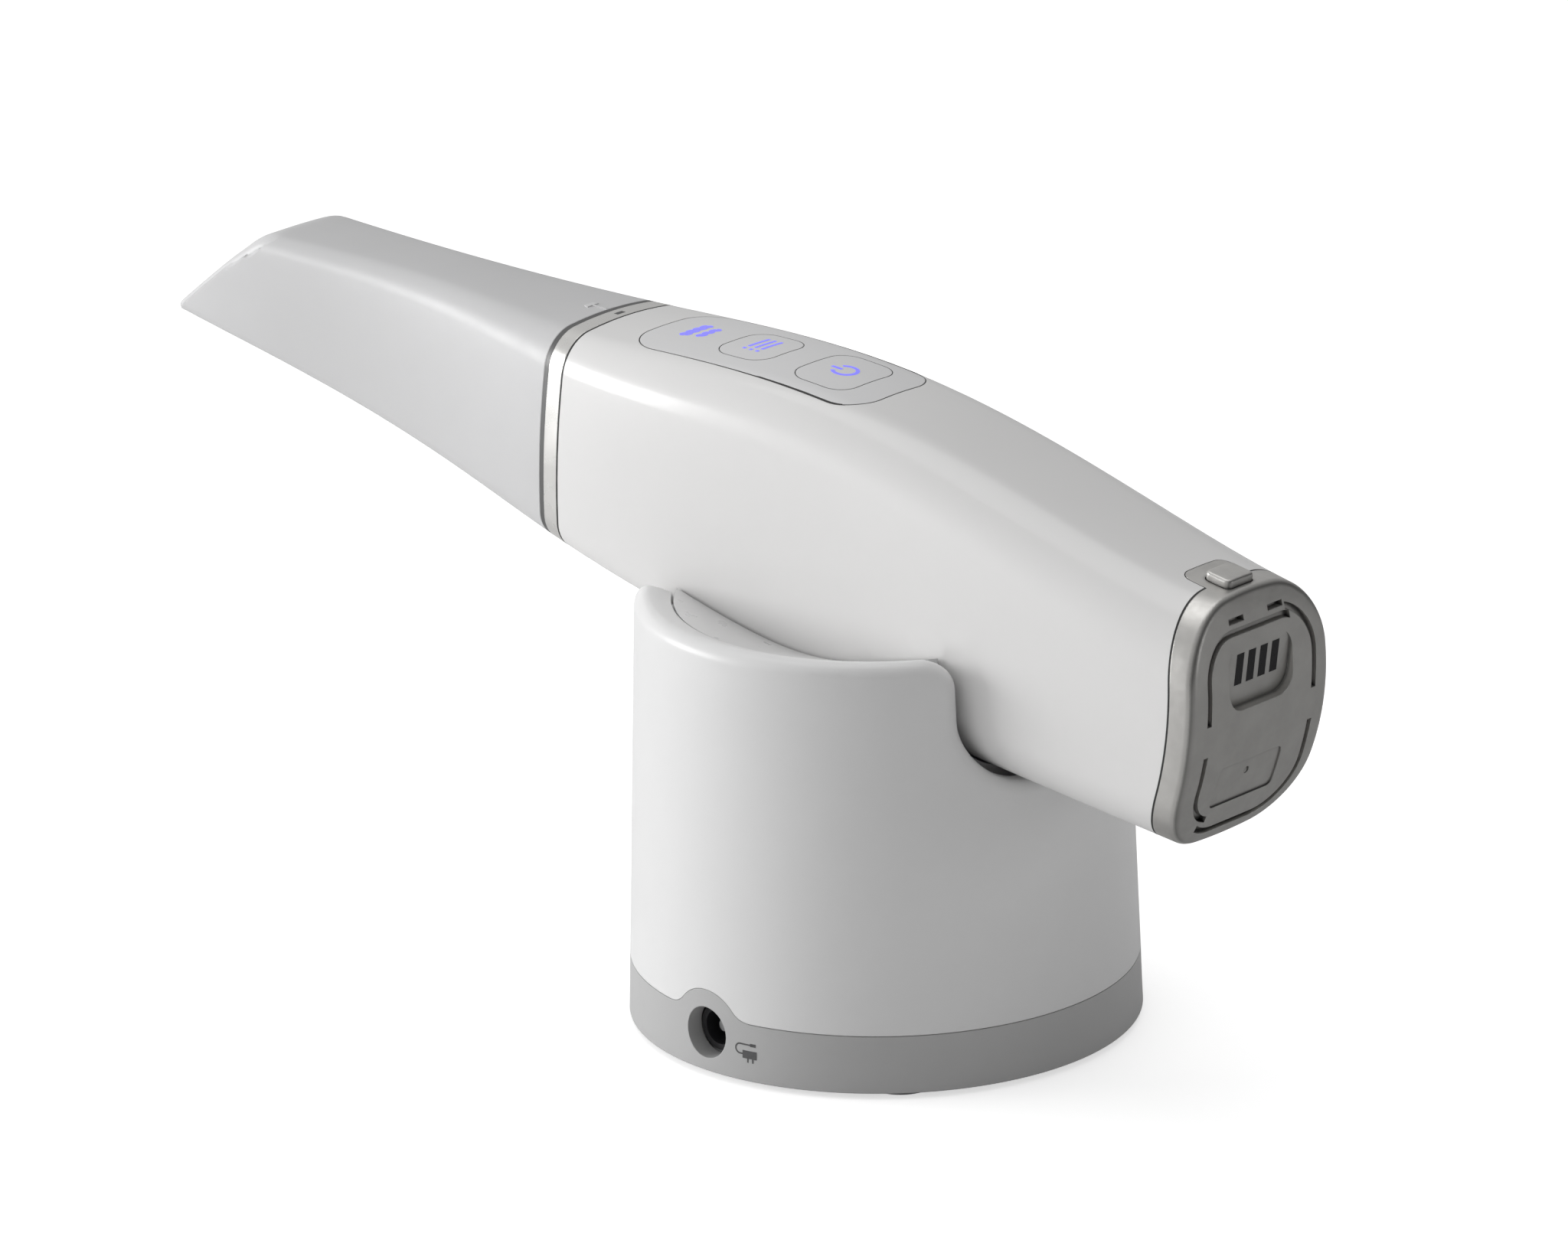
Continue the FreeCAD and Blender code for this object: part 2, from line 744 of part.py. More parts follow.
def make_optics_frame():
    """The metal frame: a plate with two bores for the barrels and a shelf that carries the main board."""
    body = upright("optics_frame", "121", "124", "-12", "12", "-11.5", "button_board_height", "2.5")
    shelf = new_sketch(body, "XY_Plane", "-11.5")
    rectangle(shelf, "-121.5", "-64", "-9", "9")
    pad(body, shelf, "1.5")
    posts = new_sketch(body, "XY_Plane", "-10.5")
    for across in ("-67", "-92"):
        for side in ("-7", "7"):
            circle(posts, across, side, "1.7")
    pad(body, posts, "3")
    bores = new_sketch(body, "YZ_Plane", "-122.5")
    circle(bores, "0", "camera_height", "camera_radius + 0.05")
    circle(bores, "0", "projector_height", "projector_radius + 0.05")
    pocket(body, bores, "8")
    threads = new_sketch(body, "XY_Plane", "-9")
    for across in ("-67", "-92"):
        for side in ("-7", "7"):
            circle(threads, across, side, "0.85")
    pocket(body, threads, "8")
    handpiece_node("optics_frame", body)


def make_main_board():
    body = block("main_board", "64", "95", "-12", "12", "-7.5", "-6.3", "1.5")
    holes = new_sketch(body, "XY_Plane", "-7")
    for across in ("-67", "-92"):
        for side in ("-7", "7"):
            circle(holes, across, side, "0.85")
    pocket(body, holes, "4")
    handpiece_node("main_board", body)
    handpiece_node("processor", block("processor_chip", "74", "86", "-6", "6", "-6.3", "-4.7"))
    sink = block("sink_base", "73", "87", "-8", "8", "-4.7", "-3.2")
    fins = new_sketch(sink, "XY_Plane", "-3.2")
    for index in range(6):
        left = -8 + 3 * index
        rectangle(fins, "-87", "-73", str(left), str(left + 1))
    pad(sink, fins, "7")
    handpiece_node("heat_sink", sink)
    radio = block("radio_can", "64.6", "71.4", "-5", "5", "-6.3", "-4.1", "0.6")
    handpiece_node("wireless_module", radio)
    screws = []
    for index, (across, side) in enumerate([("-67", "-7"), ("-67", "7"), ("-92", "-7"), ("-92", "7")]):
        screw = rod(f"board_screw_{index}", "XY_Plane", "-11", "-6.3", across, side, "0.8")
        head = new_sketch(screw, "XY_Plane", "-6.3")
        circle(head, across, side, "1.5")
        pad(screw, head, "1")
        screws.append(screw)
    handpiece_node("board_screws", group("board_screw_group", screws))


def ribbon(label, corners, half_width):
    """A flat flexible cable: its bent outline is drawn from the side."""
    body = new_body(label)
    sketch = new_sketch(body, "XZ_Plane")
    polygon(sketch, corners)
    pad(body, sketch, f"2 * {half_width}", both_ways=True)
    return body


def make_flexes():
    camera = [
        ("-114.5", "12"), ("-114.5", "4.8"), ("-93.6", "4.8"), ("-93.6", "-6.3"),
        ("-93.3", "-6.3"), ("-93.3", "5.1"), ("-114.2", "5.1"), ("-114.2", "12"),
    ]
    handpiece_node("camera_flex", ribbon("camera_ribbon", camera, "3"))
    button = [
        ("-89", "button_board_height"), ("-89", "14.3"), ("-93", "14.3"), ("-93", "-6.3"),
        ("-92.7", "-6.3"), ("-92.7", "14"), ("-88.7", "14"), ("-88.7", "button_board_height"),
    ]
    handpiece_node("button_flex", ribbon("button_ribbon", button, "2"))


# ---- battery pack ------------------------------------------------------------------------------
def make_battery_bay():
    grow = "running_gap + bay_wall"
    body = upright(
        "battery_bay",
        "10",
        "bay_front",
        f"-casing_half_width - ({grow})",
        f"casing_half_width + {grow}",
        f"-casing_under - ({grow})",
        f"casing_top + {grow}",
        f"casing_corner + {grow}",
    )
    hollow = new_sketch(body, "YZ_Plane", "-10")
    rounded_rectangle(
        hollow,
        "-casing_half_width - running_gap",
        "casing_half_width + running_gap",
        "-casing_under - running_gap",
        "casing_top + running_gap",
        "casing_corner + running_gap",
    )
    pocket(body, hollow, "2 * (bay_front - 10 - 1.2)")
    saddle = new_sketch(body, "YZ_Plane", "-bay_front")
    rectangle(saddle, "-6", "6", "10", "button_board_height")
    pad(body, saddle, "1.2")
    slots = new_sketch(body, "YZ_Plane", "-bay_front")
    for index in range(4):
        rectangle(slots, f"-7.2 + {4 * index}", f"-4.8 + {4 * index}", "-6", "0")
    pocket(body, slots, "6")
    handpiece_node("battery_bay", body)
    springs = []
    for index in range(4):
        centre = -6 + 4 * index
        springs.append(
            block(f"bay_spring_{index}", "casing_front + 0.5", "bay_front + 2", f"{centre} - 0.9",
                  f"{centre} + 0.9", "-4", "-2.4")
        )
    handpiece_node("bay_contacts", group("bay_spring_group", springs))


def groove_ring(label, left, right, low, high, corner):
    """A rounded ring that a groove in the cap's face follows, cut to the groove's depth."""
    width = "groove_width"
    ring = upright(f"{label}_ring", "-12", "12", left, right, low, high, corner)
    inside = new_sketch(ring, "YZ_Plane", "0")
    rounded_rectangle(
        inside,
        f"{left} + {width}",
        f"{right} - {width}",
        f"{low} + {width}",
        f"{high} - {width}",
        f"{corner} - {width}",
    )
    pocket(ring, inside, "60")
    return cut(f"{label}_trim", ring, crown(f"{label}_floor", "groove_depth"))


def face_grooves():
    """The four curved grooves in the cap's face, each one stretch of an inner or an outer ring."""
    inner = groove_ring("inner_groove", "-12.9", "12.9", "-16.2", "15.9", "7")
    outer = groove_ring("outer_groove", "-13.6", "13.6", "-18.7", "17.4", "9")
    stretches = [
        (inner, "upper_left", "-20", "8", "2.3", "22"),
        (inner, "lower_left", "-20", "-7.5", "-22", "-2.9"),
        (outer, "upper_right", "7.1", "20", "2.1", "22"),
        (outer, "lower_right", "-9.2", "20", "-24", "-3.3"),
    ]
    return [
        common(f"{name}_groove", ring, upright(f"{name}_stretch", "-12", "14", left, right, low, high))
        for ring, name, left, right, low, high in stretches
    ]


def cap_recesses():
    """The gauge window's recess, the two catch slots above it and the shallow label recess."""
    gauge = upright("gauge_recess", "-5", "gauge_floor", "-7.6", "7.9", "3", "13.4", "3.4")
    slots = []
    for name, left, right in [("left_slot", "-6.3", "-2.7"), ("right_slot", "3.1", "6.7")]:
        bar = upright(name, "-5", "9", left, right, "16.6", "17.5")
        slots.append(cut(f"{name}_cut", bar, crown(f"{name}_floor", "1.2")))
    plate = upright("label_recess", "-5", "9", "-8", "7.2", "-13.4", "-6.2", "1")
    label = cut("label_cut", plate, crown("label_floor", "label_depth"))
    dimple = rod("label_dimple", "YZ_Plane", "-1.2", "5", "-0.6", "-8.4", "0.6")
    return [gauge, *slots, label, dimple]


def gauge_bars(label, grow):
    bars = []
    for index in range(4):
        centre = f"gauge_bar_pitch * {index - 1.5}"
        bars.append(
            upright(
                f"{label}_{index}",
                "gauge_floor",
                "4.2",
                f"{centre} - gauge_bar_width / 2 - {grow}",
                f"{centre} + gauge_bar_width / 2 + {grow}",
                f"gauge_bar_low - {grow}",
                f"gauge_bar_high + {grow}",
            )
        )
    return bars


def make_battery_cap():
    band = cut("cap_band", common("cap_blank", envelope, rear_crown), joint_crown)
    doc.recompute()

    def on_crown(edge):
        """Is the edge on the rear crown, rather than on the joint behind it?"""
        spots = [edge.valueAt(edge.FirstParameter), edge.valueAt(edge.LastParameter)]
        radius = value("crown_radius")
        return all(abs(math.hypot(spot.x + radius, spot.z) - radius) < 0.02 for spot in spots)

    rounded = fillet("cap_rounded", band, "cap_edge_round", on_crown)
    reach = block("spigot_block", "-10", "cap_spigot", "-30", "30", "-30", "30")
    spigot = cut("cap_spigot", common("spigot_blank", spigot_form, reach), behind("behind_joint", joint_crown))
    tongue_blank = common("tongue_blank", envelope, tongue_prism("tongue_form", "0"))
    tongue = cut("tongue", tongue_blank, cavity, behind("tongue_rear", joint_crown))
    whole = fuse("cap_whole", rounded, spigot, tongue)
    hollow = upright("gauge_hollow", "3", "12", "-10", "10", "-13", "13.2", "2")
    latch_hole = block(
        "latch_hole", "latch_rear - running_gap", "latch_front + running_gap",
        "-latch_half_width - running_gap", "latch_half_width + running_gap", "14.2", FAR, "1 + running_gap",
    )
    tools = [hollow, latch_hole, *face_grooves(), *cap_recesses(), *gauge_bars("bar_slot", "0.02")]
    handpiece_node("battery_cap", cut("cap_cut", whole, *tools))
    handpiece_node("charge_bars", group("bar_group", gauge_bars("gauge_bar", "0")))
    handpiece_node("gauge_board", upright("gauge_plate", "4.2", "5.2", "-9", "9", "1", "12.9"))


def make_cap_seal():
    ring = common("seal_ring", cut("seal_blank", envelope, behind("behind_cap", joint_crown)),
                  behind("behind_seal", seal_crown))
    handpiece_node("cap_seal", cut("seal_cut", ring, cavity, tongue_prism("seal_notch", "running_gap")))


def make_latch():
    prism = block(
        "latch_prism", "latch_rear", "latch_front", "-latch_half_width", "latch_half_width", "16.4", FAR, "1"
    )
    blank = common("latch_blank", raised_form, prism)

    def on_top(edge):
        spots = [edge.valueAt(edge.FirstParameter), edge.valueAt(edge.LastParameter)]
        return all(spot.z > value("rear_top") for spot in spots)

    handpiece_node("latch_button", fillet("latch_rounded", blank, "0.5", on_top))
    leaf = [
        ("-9.3", "14.2"), ("-9", "14.2"), ("-8", "16.1"), ("-7.6", "16.1"),
        ("-6.6", "14.2"), ("-6.3", "14.2"), ("-7.4", "16.4"), ("-8.2", "16.4"),
    ]
    handpiece_node("latch_spring", ribbon("latch_leaf", leaf, "1.5"))


def make_battery():
    body = upright(
        "battery_casing",
        "cap_spigot",
        "casing_front",
        "-casing_half_width",
        "casing_half_width",
        "-casing_under",
        "casing_top",
        "casing_corner",
    )
    hollow = new_sketch(body, "YZ_Plane", "-cap_spigot")
    rounded_rectangle(
        hollow,
        "-casing_half_width + casing_wall",
        "casing_half_width - casing_wall",
        "-casing_under + casing_wall",
        "casing_top - casing_wall",
        "casing_corner - casing_wall",
    )
    pocket(body, hollow, "2 * (casing_front - cap_spigot - casing_wall)")
    handpiece_node("battery_casing", body)
    cells = [
        upright("left_cell", "12", "52", "-11.9", "-0.3", "-12.4", "9.5", "4.2"),
        upright("right_cell", "12", "52", "0.3", "11.9", "-12.4", "9.5", "4.2"),
    ]
    handpiece_node("battery_cells", group("cell_group", cells))
    handpiece_node("battery_board", upright("cell_board", "52.6", "53.6", "-11", "11", "-11", "8"))
    pads = []
    for index in range(4):
        centre = -6 + 4 * index
        pads.append(
            upright(f"pack_pad_{index}", "casing_front", "casing_front + 0.4", f"{centre} - 1.3",
                    f"{centre} + 1.3", "-5.6", "-0.4")
        )
    handpiece_node("battery_contacts", group("pack_pad_group", pads))


# ---- tip ---------------------------------------------------------------------------------------
def bevel_slab(label, rear, setback, slab=None):
    """The side outline of the tip, with its 45 degree end set back, or a thin slab along that end."""
    foot = f"tip_end - ({setback}) * sqrt(2)"
    drop = FAR
    corners = [
        (f"-({foot}) + {drop} + tip_end_height", drop),
        (f"-({foot}) - {drop} + tip_end_height", f"-{drop}"),
    ]
    if slab is None:
        corners += [(f"-({rear}) + {drop} * tan(ring_lean)", f"-{drop}")]
        corners += [(f"-({rear}) - {drop} * tan(ring_lean)", drop)]
    else:
        corners += [(f"-({foot}) - {drop} + tip_end_height + ({slab}) * sqrt(2)", f"-{drop}")]
        corners += [(f"-({foot}) + {drop} + tip_end_height + ({slab}) * sqrt(2)", drop)]
    return side_slab(label, corners)


def make_tip():
    shape = common("tip_blank", envelope, bevel_slab("tip_outline", f"{TIP}", "0"))
    doc.recompute()
    end_line = value("tip_end") - value("tip_end_height")

    def on_bevel(edge):
        spots = [edge.valueAt(edge.FirstParameter), edge.valueAt(edge.LastParameter)]
        return all(abs(-spot.x + spot.z - end_line) < 0.03 for spot in spots)

    outer = fillet("tip_rounded", shape, "0.6", on_bevel)
    hollow = common("tip_hollow", tip_inside, bevel_slab("tip_hollow_outline", "130", "tip_wall"))
    window = block(
        "scan_opening", "scan_window_start", "scan_window_end", "-scan_window_half_width",
        "scan_window_half_width", "-12", "-0.5", "2.5",
    )
    handpiece_node("tip_shell", cut("tip_cut", outer, hollow, window))
    slab = bevel_slab("mirror_slab", "0", "tip_wall", "mirror_thickness")
    handpiece_node("tip_mirror", common("mirror_cut", tip_inside, slab))


# ---- cradle ------------------------------------------------------------------------------------
def cone(height, inset="0"):
    """Radius of the cradle's outer wall at a height, moved inwards by inset."""
    return f"base_radius - (({height}) - foot_height) * tan(draft_angle) - ({inset})"


def channel(label, grow):
    """A U-shaped bar that follows the handpiece's underside, open to the sky."""
    body = new_body(label)
    sketch = new_sketch(body, "YZ_Plane", "-80")
    rounded_rectangle(
        sketch,
        f"-channel_half_width - ({grow})",
        f"channel_half_width + {grow}",
        f"-({grow})",
        "60",
        f"channel_corner + {grow}",
    )
    pad(body, sketch, "160")
    body.Placement = Placement(Vector(), Rotation(Vector(0, 1, 0), 1))
    body.setExpression("Placement.Rotation.Angle", formula("handpiece_tilt + channel_lean"))
    body.setExpression(
        "Placement.Base.z",
        formula("rear_z - channel_rear_depth + rear_x * tan(handpiece_tilt + channel_lean)"),
    )
    return body


def socket_frame(body):
    """Turns a body drawn facing -Y so that it faces the socket."""
    body.Placement = Placement(Vector(), Rotation(Vector(0, 0, 1), 1))
    body.setExpression("Placement.Rotation.Angle", formula("socket_angle"))
    return body


def hump_prism(label, grow):
    """The raised arch round the socket: a circle about the hole, with flared feet on the band."""
    body = new_body(label)
    sketch = new_sketch(body, "XZ_Plane", "30")
    foot = 4.0
    outer = value("hump_round") + value(grow)
    band = value("band_top") + value(grow) - value("socket_height")
    reach = math.sqrt((outer + foot) ** 2 - (band + foot) ** 2)
    hole = (0.0, value("socket_height"))
    turn = math.atan2(band + foot, reach)
    level = hole[1] + band
    arch = add_arc(sketch, hole, outer, turn, math.pi - turn)
    left = add_arc(sketch, (-reach, level + foot), foot, -math.pi / 2, -turn)
    base_left = Vector(-reach, level, 0)
    base_right = Vector(reach, level, 0)
    low_left = Vector(-reach, 2, 0)
    low_right = Vector(reach, 2, 0)
    down = sketch.addGeometry(Part.LineSegment(base_left, low_left), False)
    floor = sketch.addGeometry(Part.LineSegment(low_left, low_right), False)
    rise = sketch.addGeometry(Part.LineSegment(low_right, base_right), False)
    right = add_arc(sketch, (reach, level + foot), foot, math.pi + turn, 3 * math.pi / 2)
    sketch.addConstraint(Sketcher.Constraint("Tangent", arch, 2, left, 2))
    sketch.addConstraint(Sketcher.Constraint("Tangent", arch, 1, right, 1))
    sketch.addConstraint(Sketcher.Constraint("Coincident", left, 1, down, 1))
    sketch.addConstraint(Sketcher.Constraint("Coincident", down, 2, floor, 1))
    sketch.addConstraint(Sketcher.Constraint("Coincident", floor, 2, rise, 1))
    sketch.addConstraint(Sketcher.Constraint("Coincident", rise, 2, right, 2))
    for line in (down, rise):
        sketch.addConstraint(Sketcher.Constraint("Vertical", line))
    sketch.addConstraint(Sketcher.Constraint("Horizontal", floor))
    fix_point(sketch, arch, 3, "0", "socket_height")
    bind(sketch, Sketcher.Constraint("Radius", arch, outer), f"hump_round + {grow}")
    for side in (left, right):
        bind(sketch, Sketcher.Constraint("Radius", side, foot), str(foot))
        above = Sketcher.Constraint("DistanceY", -1, 1, side, 3, level + foot)
        bind(sketch, above, f"band_top + {grow} + {foot}")
    bind(sketch, Sketcher.Constraint("DistanceY", -1, 1, floor, 1, 2), "2")
    pad(body, sketch, "20")
    return socket_frame(body)


def make_cradle_shell():
    solid = spin(
        "cradle_solid",
        [
            ("0", "band_top"),
            (cone("band_top"), "band_top"),
            (cone("rim_height"), "rim_height"),
            ("0", "rim_height"),
        ],
    )
    opened = cut("cradle_open", solid, channel("shell_channel", "0"))
    top = value("rim_height")
    edge_line = value("channel_half_width")

    def on_channel_top(edge):
        """A straight top edge of the channel, where the rim's shoulders are."""
        spots = [edge.valueAt(edge.FirstParameter), edge.valueAt(edge.LastParameter)]
        return all(abs(spot.z - top) < 0.01 and abs(abs(spot.y) - edge_line) < 0.01 for spot in spots)

    shoulders = fillet("cradle_shoulders", opened, "shoulder_round", on_channel_top)
    doc.recompute()

    def on_outer_rim(edge):
        """An edge that the conical outer wall shares with the rim or the channel."""
        spots = [edge.valueAt(edge.FirstParameter + share * (edge.LastParameter - edge.FirstParameter))
                 for share in (0.0, 0.3, 0.7, 1.0)]
        slope = math.tan(math.radians(value("draft_angle")))
        foot = value("foot_height")
        for spot in spots:
            wall = value("base_radius") - (spot.z - foot) * slope
            if abs(math.hypot(spot.x, spot.y) - wall) > 0.02:
                return False
            if spot.z < value("band_top") + 1:
                return False
        return edge.Length > 0.5

    rounded = fillet("cradle_rounded", shoulders, "rim_round", on_outer_rim)
    lip = "rim_height - (36.4 - lip_radius) * tan(dish_slope)"
    hollow = spin(
        "cradle_hollow",
        [
            ("0", "band_top - 1"),
            (cone("band_top", "cradle_wall"), "band_top - 1"),
            (cone("ledge_height - 1.5", "cradle_wall"), "ledge_height - 1.5"),
            ("ledge_radius", "ledge_height - 1.5"),
            ("ledge_radius", "ledge_height"),
            (cone("ledge_height", "cradle_wall"), "ledge_height"),
            (cone("rim_height - 6", "cradle_wall"), "rim_height - 6"),
            ("lip_radius", f"{lip} - 2.2"),
            ("lip_radius", f"{lip}"),
            ("36.4", "rim_height"),
            ("36.4", "rim_height + 2"),
            ("0", "rim_height + 2"),
        ],
    )
    shell = cut("shell_hollowed", rounded, hollow)
    bosses = boss_group("shell_boss", "band_top", "22", "3.2")
    wall_side = common("boss_trim", bosses, spin(
        "boss_limit",
        [("0", "band_top"), (cone("band_top", "0.5"), "band_top"), (cone("22", "0.5"), "22"), ("0", "22")],
    ))
    with_bosses = fuse("shell_with_bosses", shell, wall_side)
    node("cradle_shell", cut("shell_cut_out", with_bosses, hump_prism("hump_opening", "0.05"),
                             boss_group("shell_thread", "band_top - 2", "20", "screw_shank + 0.05")))


def boss_group(label, low, high, radius):
    """Four upright bars at the screw positions."""
    body = new_body(label)
    sketch = new_sketch(body, "XY_Plane", low)
    for across in ("-screw_x", "screw_x"):
        for side in ("-screw_y", "screw_y"):
            circle(sketch, across, side, radius)
    pad(body, sketch, f"({high}) - ({low})")
    return body


def make_base_ring():
    ring = spin(
        "base_band",
        [
            (cone("band_top - 0.1", "cradle_wall"), "foot_height"),
            (cone("foot_height"), "foot_height"),
            (cone("band_top - 0.1"), "band_top - 0.1"),
            (cone("band_top - 0.1", "cradle_wall"), "band_top - 0.1"),
        ],
    )
    skin = spin(
        "hump_skin",
        [
            (cone("1", "cradle_wall"), "2"),
            (cone("2"), "2"),
            (cone("16"), "16"),
            (cone("1", "cradle_wall"), "16"),
        ],
    )
    hump = common("hump_plate", skin, hump_prism("hump_form", "0"))
    limit = spin("ring_boss_limit", [("0", "1"), (cone("1", "1"), "1"), (cone("12", "1"), "12"), ("0", "12")])
    bars = boss_group("ring_boss", "foot_height + plate_thickness", "band_top - 0.1", "3.2")
    bosses = common("ring_bosses", bars, limit)
    whole = fuse("ring_whole", ring, hump, bosses)
    hole = rod("socket_opening", "XZ_Plane", "20", "60", "0", "socket_height", "socket_hole")
    node("base_ring", cut("ring_cut", whole, socket_frame(hole),
                          boss_group("ring_thread", "0", "20", "screw_shank + 0.05")))


def make_base_plate():
    body = new_body("base_plate")
    disc = new_sketch(body, "XY_Plane", "foot_height")
    circle(disc, "0", "0", f"{cone('band_top - 0.1', 'cradle_wall')} - running_gap")
    pad(body, disc, "plate_thickness")
    holes = new_sketch(body, "XY_Plane", "foot_height")
    sinks = new_sketch(body, "XY_Plane", "foot_height")
    for across in ("-screw_x", "screw_x"):
        for side in ("-screw_y", "screw_y"):
            circle(holes, across, side, "screw_shank + 0.05")
            circle(sinks, across, side, "2.6")
    pocket(body, holes, "12")
    pocket(body, sinks, "3.2")
    node("base_plate", body)


def make_cradle_screws():
    screws = []
    for index, (across, side) in enumerate(
        [("-screw_x", "-screw_y"), ("-screw_x", "screw_y"), ("screw_x", "-screw_y"), ("screw_x", "screw_y")]
    ):
        shank = f"cradle_screw_{index}"
        screw = rod(shank, "XY_Plane", "foot_height + 1.6", "18", across, side, "screw_shank")
        head = new_sketch(screw, "XY_Plane", "foot_height + 0.2")
        circle(head, across, side, "2.4")
        pad(screw, head, "1.4")
        screws.append(screw)
    node("cradle_screws", group("cradle_screw_group", screws))


def make_feet():
    feet = []
    for index, (across, side) in enumerate([("-1", "-1"), ("-1", "1"), ("1", "-1"), ("1", "1")]):
        reach = "foot_ring * sqrt(0.5)"
        feet.append(rod(f"foot_{index}", "XY_Plane", "0", "foot_height", f"{across} * {reach}",
                        f"{side} * {reach}", "foot_radius"))
    node("rubber_feet", group("foot_group", feet))


def make_saddle_liner():
    """The dish round the handpiece and the tray that carries it, one thin moulding."""
    start = "lip_radius - 0.4"
    rim = "rim_height - (36.4 - lip_radius) * tan(dish_slope) - 0.2"
    centre = f"{rim} - ({start}) * tan(dish_slope)"
    flange_radius = cone("ledge_height + 2", "cradle_wall + 0.1")
    flange = spin(
        "liner_flange",
        [("30", "ledge_height"), (flange_radius, "ledge_height"), (flange_radius, "ledge_height + 2"),
         ("30", "ledge_height + 2")],
    )
    dish = spin("liner_solid", [("0", "42"), (start, "42"), (start, rim), ("0", centre)])
    outer = fuse("liner_outer", dish, cut("liner_flange_cut", flange, channel("flange_gap", "0.6")))
    core = spin(
        "liner_core",
        [("0", "40"), (f"{start} - 2", "40"), (f"{start} - 2", f"{rim} - 2.7"), ("0", f"{centre} - 2.7")],
    )
    under = cut("liner_under", core, channel("tray_outside", "2.2"))
    trim = spin("liner_trim", [("0", "30"), ("40", "30"), ("40", "46"), ("0", "46")])
    blank = cut("liner_blank", outer, under, trim)
    opening = block("contact_opening", "-6.2", "6.2", "-11.2", "11.2", "40", "60", "1.5")
    tool = saddle_form()
    node("saddle_liner", cut("liner_cut", blank, *tool, opening))


def saddle_form():
    """The handpiece's underside grown by the saddle gap, and the clear way up above it."""
    grown = loft("saddle_grown", STATIONS, "-saddle_gap")
    side = "hump_half_width + saddle_gap"
    sky = block("saddle_sky", "30", "128", f"-({side})", side, "-9.5", "30")
    return [tip_up(grown), tip_up(sky)]


def make_contacts():
    body = block("contact_block", "-6", "6", "-11", "11", "46", "contact_top - 1", "1.4")
    holes = new_sketch(body, "XY_Plane", "46")
    for index in range(3):
        circle(holes, "0", str(6 * (index - 1)), "1.05")
    pocket(body, holes, "40")
    node("contact_block", body)
    pins = []
    for index in range(3):
        across = str(6 * (index - 1))
        pins.append(rod(f"contact_pin_{index}", "XY_Plane", "49.4", "contact_top", "0", across, "1.0"))
    node("contact_pins", group("contact_pin_group", pins))


def make_charger():
    board = block("charger_board", "-20", "20", "-22", "22", "14", "15.6", "2")
    node("charger_board", board)
    weight = spin("ballast_weight", [("0", "3.5"), ("24", "3.5"), ("24", "11.5"), ("0", "11.5")])
    node("ballast_weight", weight)
    leads = []
    for index in range(3):
        across = str(6 * (index - 1))
        leads.append(rod(f"lead_{index}", "XY_Plane", "15.6", "48.5", "0", across, "0.7"))
    node("charge_leads", group("lead_group", leads))


def make_jack():
    """A 5.5 mm barrel socket: its body behind the base ring, its pin proud of the bore's floor."""
    body = rod("dc_jack", "XZ_Plane", "27", "38.2", "0", "socket_height", "3.8")
    bore = new_sketch(body, "XZ_Plane", "38.2")
    circle(bore, "0", "socket_height", "jack_bore")
    pocket(body, bore, "19")
    seat = new_sketch(body, "XZ_Plane", "27")
    circle(seat, "0", "socket_height", "jack_pin_radius + 0.4")
    pocket(body, seat, "8")
    node("dc_jack", socket_frame(body))
    pin = rod("jack_pin", "XZ_Plane", "25", "28.7", "0", "socket_height", "jack_pin_radius + 0.4")
    free_end = new_sketch(pin, "XZ_Plane", "28.7")
    circle(free_end, "0", "socket_height", "jack_pin_radius")
    pad(pin, free_end, "8.5")
    node("jack_pin", socket_frame(pin))


make_body_shell()
make_charge_pads()
make_front_joint()
make_button_panel()
make_button("mode")
make_button("power")
make_button_electronics()
make_nose()
make_optics()
make_optics_frame()
make_main_board()
make_flexes()
make_battery_bay()
make_battery_cap()
make_cap_seal()
make_latch()
make_battery()
make_tip()
make_cradle_shell()
make_base_ring()
make_base_plate()
make_cradle_screws()
make_feet()
make_saddle_liner()
make_contacts()
make_charger()
make_jack()
doc.recompute()

# ---- checks and export -------------------------------------------------------------------------
problems = []
for item in doc.Objects:
    if "Invalid" in item.State or "Error" in item.State:
        problems.append(f"{item.Label} failed: {item.State}")
for piece in nodes:
    if piece.Shape.isNull() or not piece.Shape.isValid() or not piece.Shape.Solids:
        problems.append(f"{piece.Label} has no valid solid")
if problems:
    raise SystemExit("\n".join(problems))
os.makedirs("parts", exist_ok=True)
for piece in nodes:
    piece.Shape.exportStep(f"parts/{piece.Label}.step")
    print(f"{piece.Label:20s} solids {len(piece.Shape.Solids)} volume {piece.Shape.Volume:10.1f}")
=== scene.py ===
import json
import math

import bmesh
import bpy
import numpy as np
from mathutils import Matrix, Vector
from mathutils.bvhtree import BVHTree

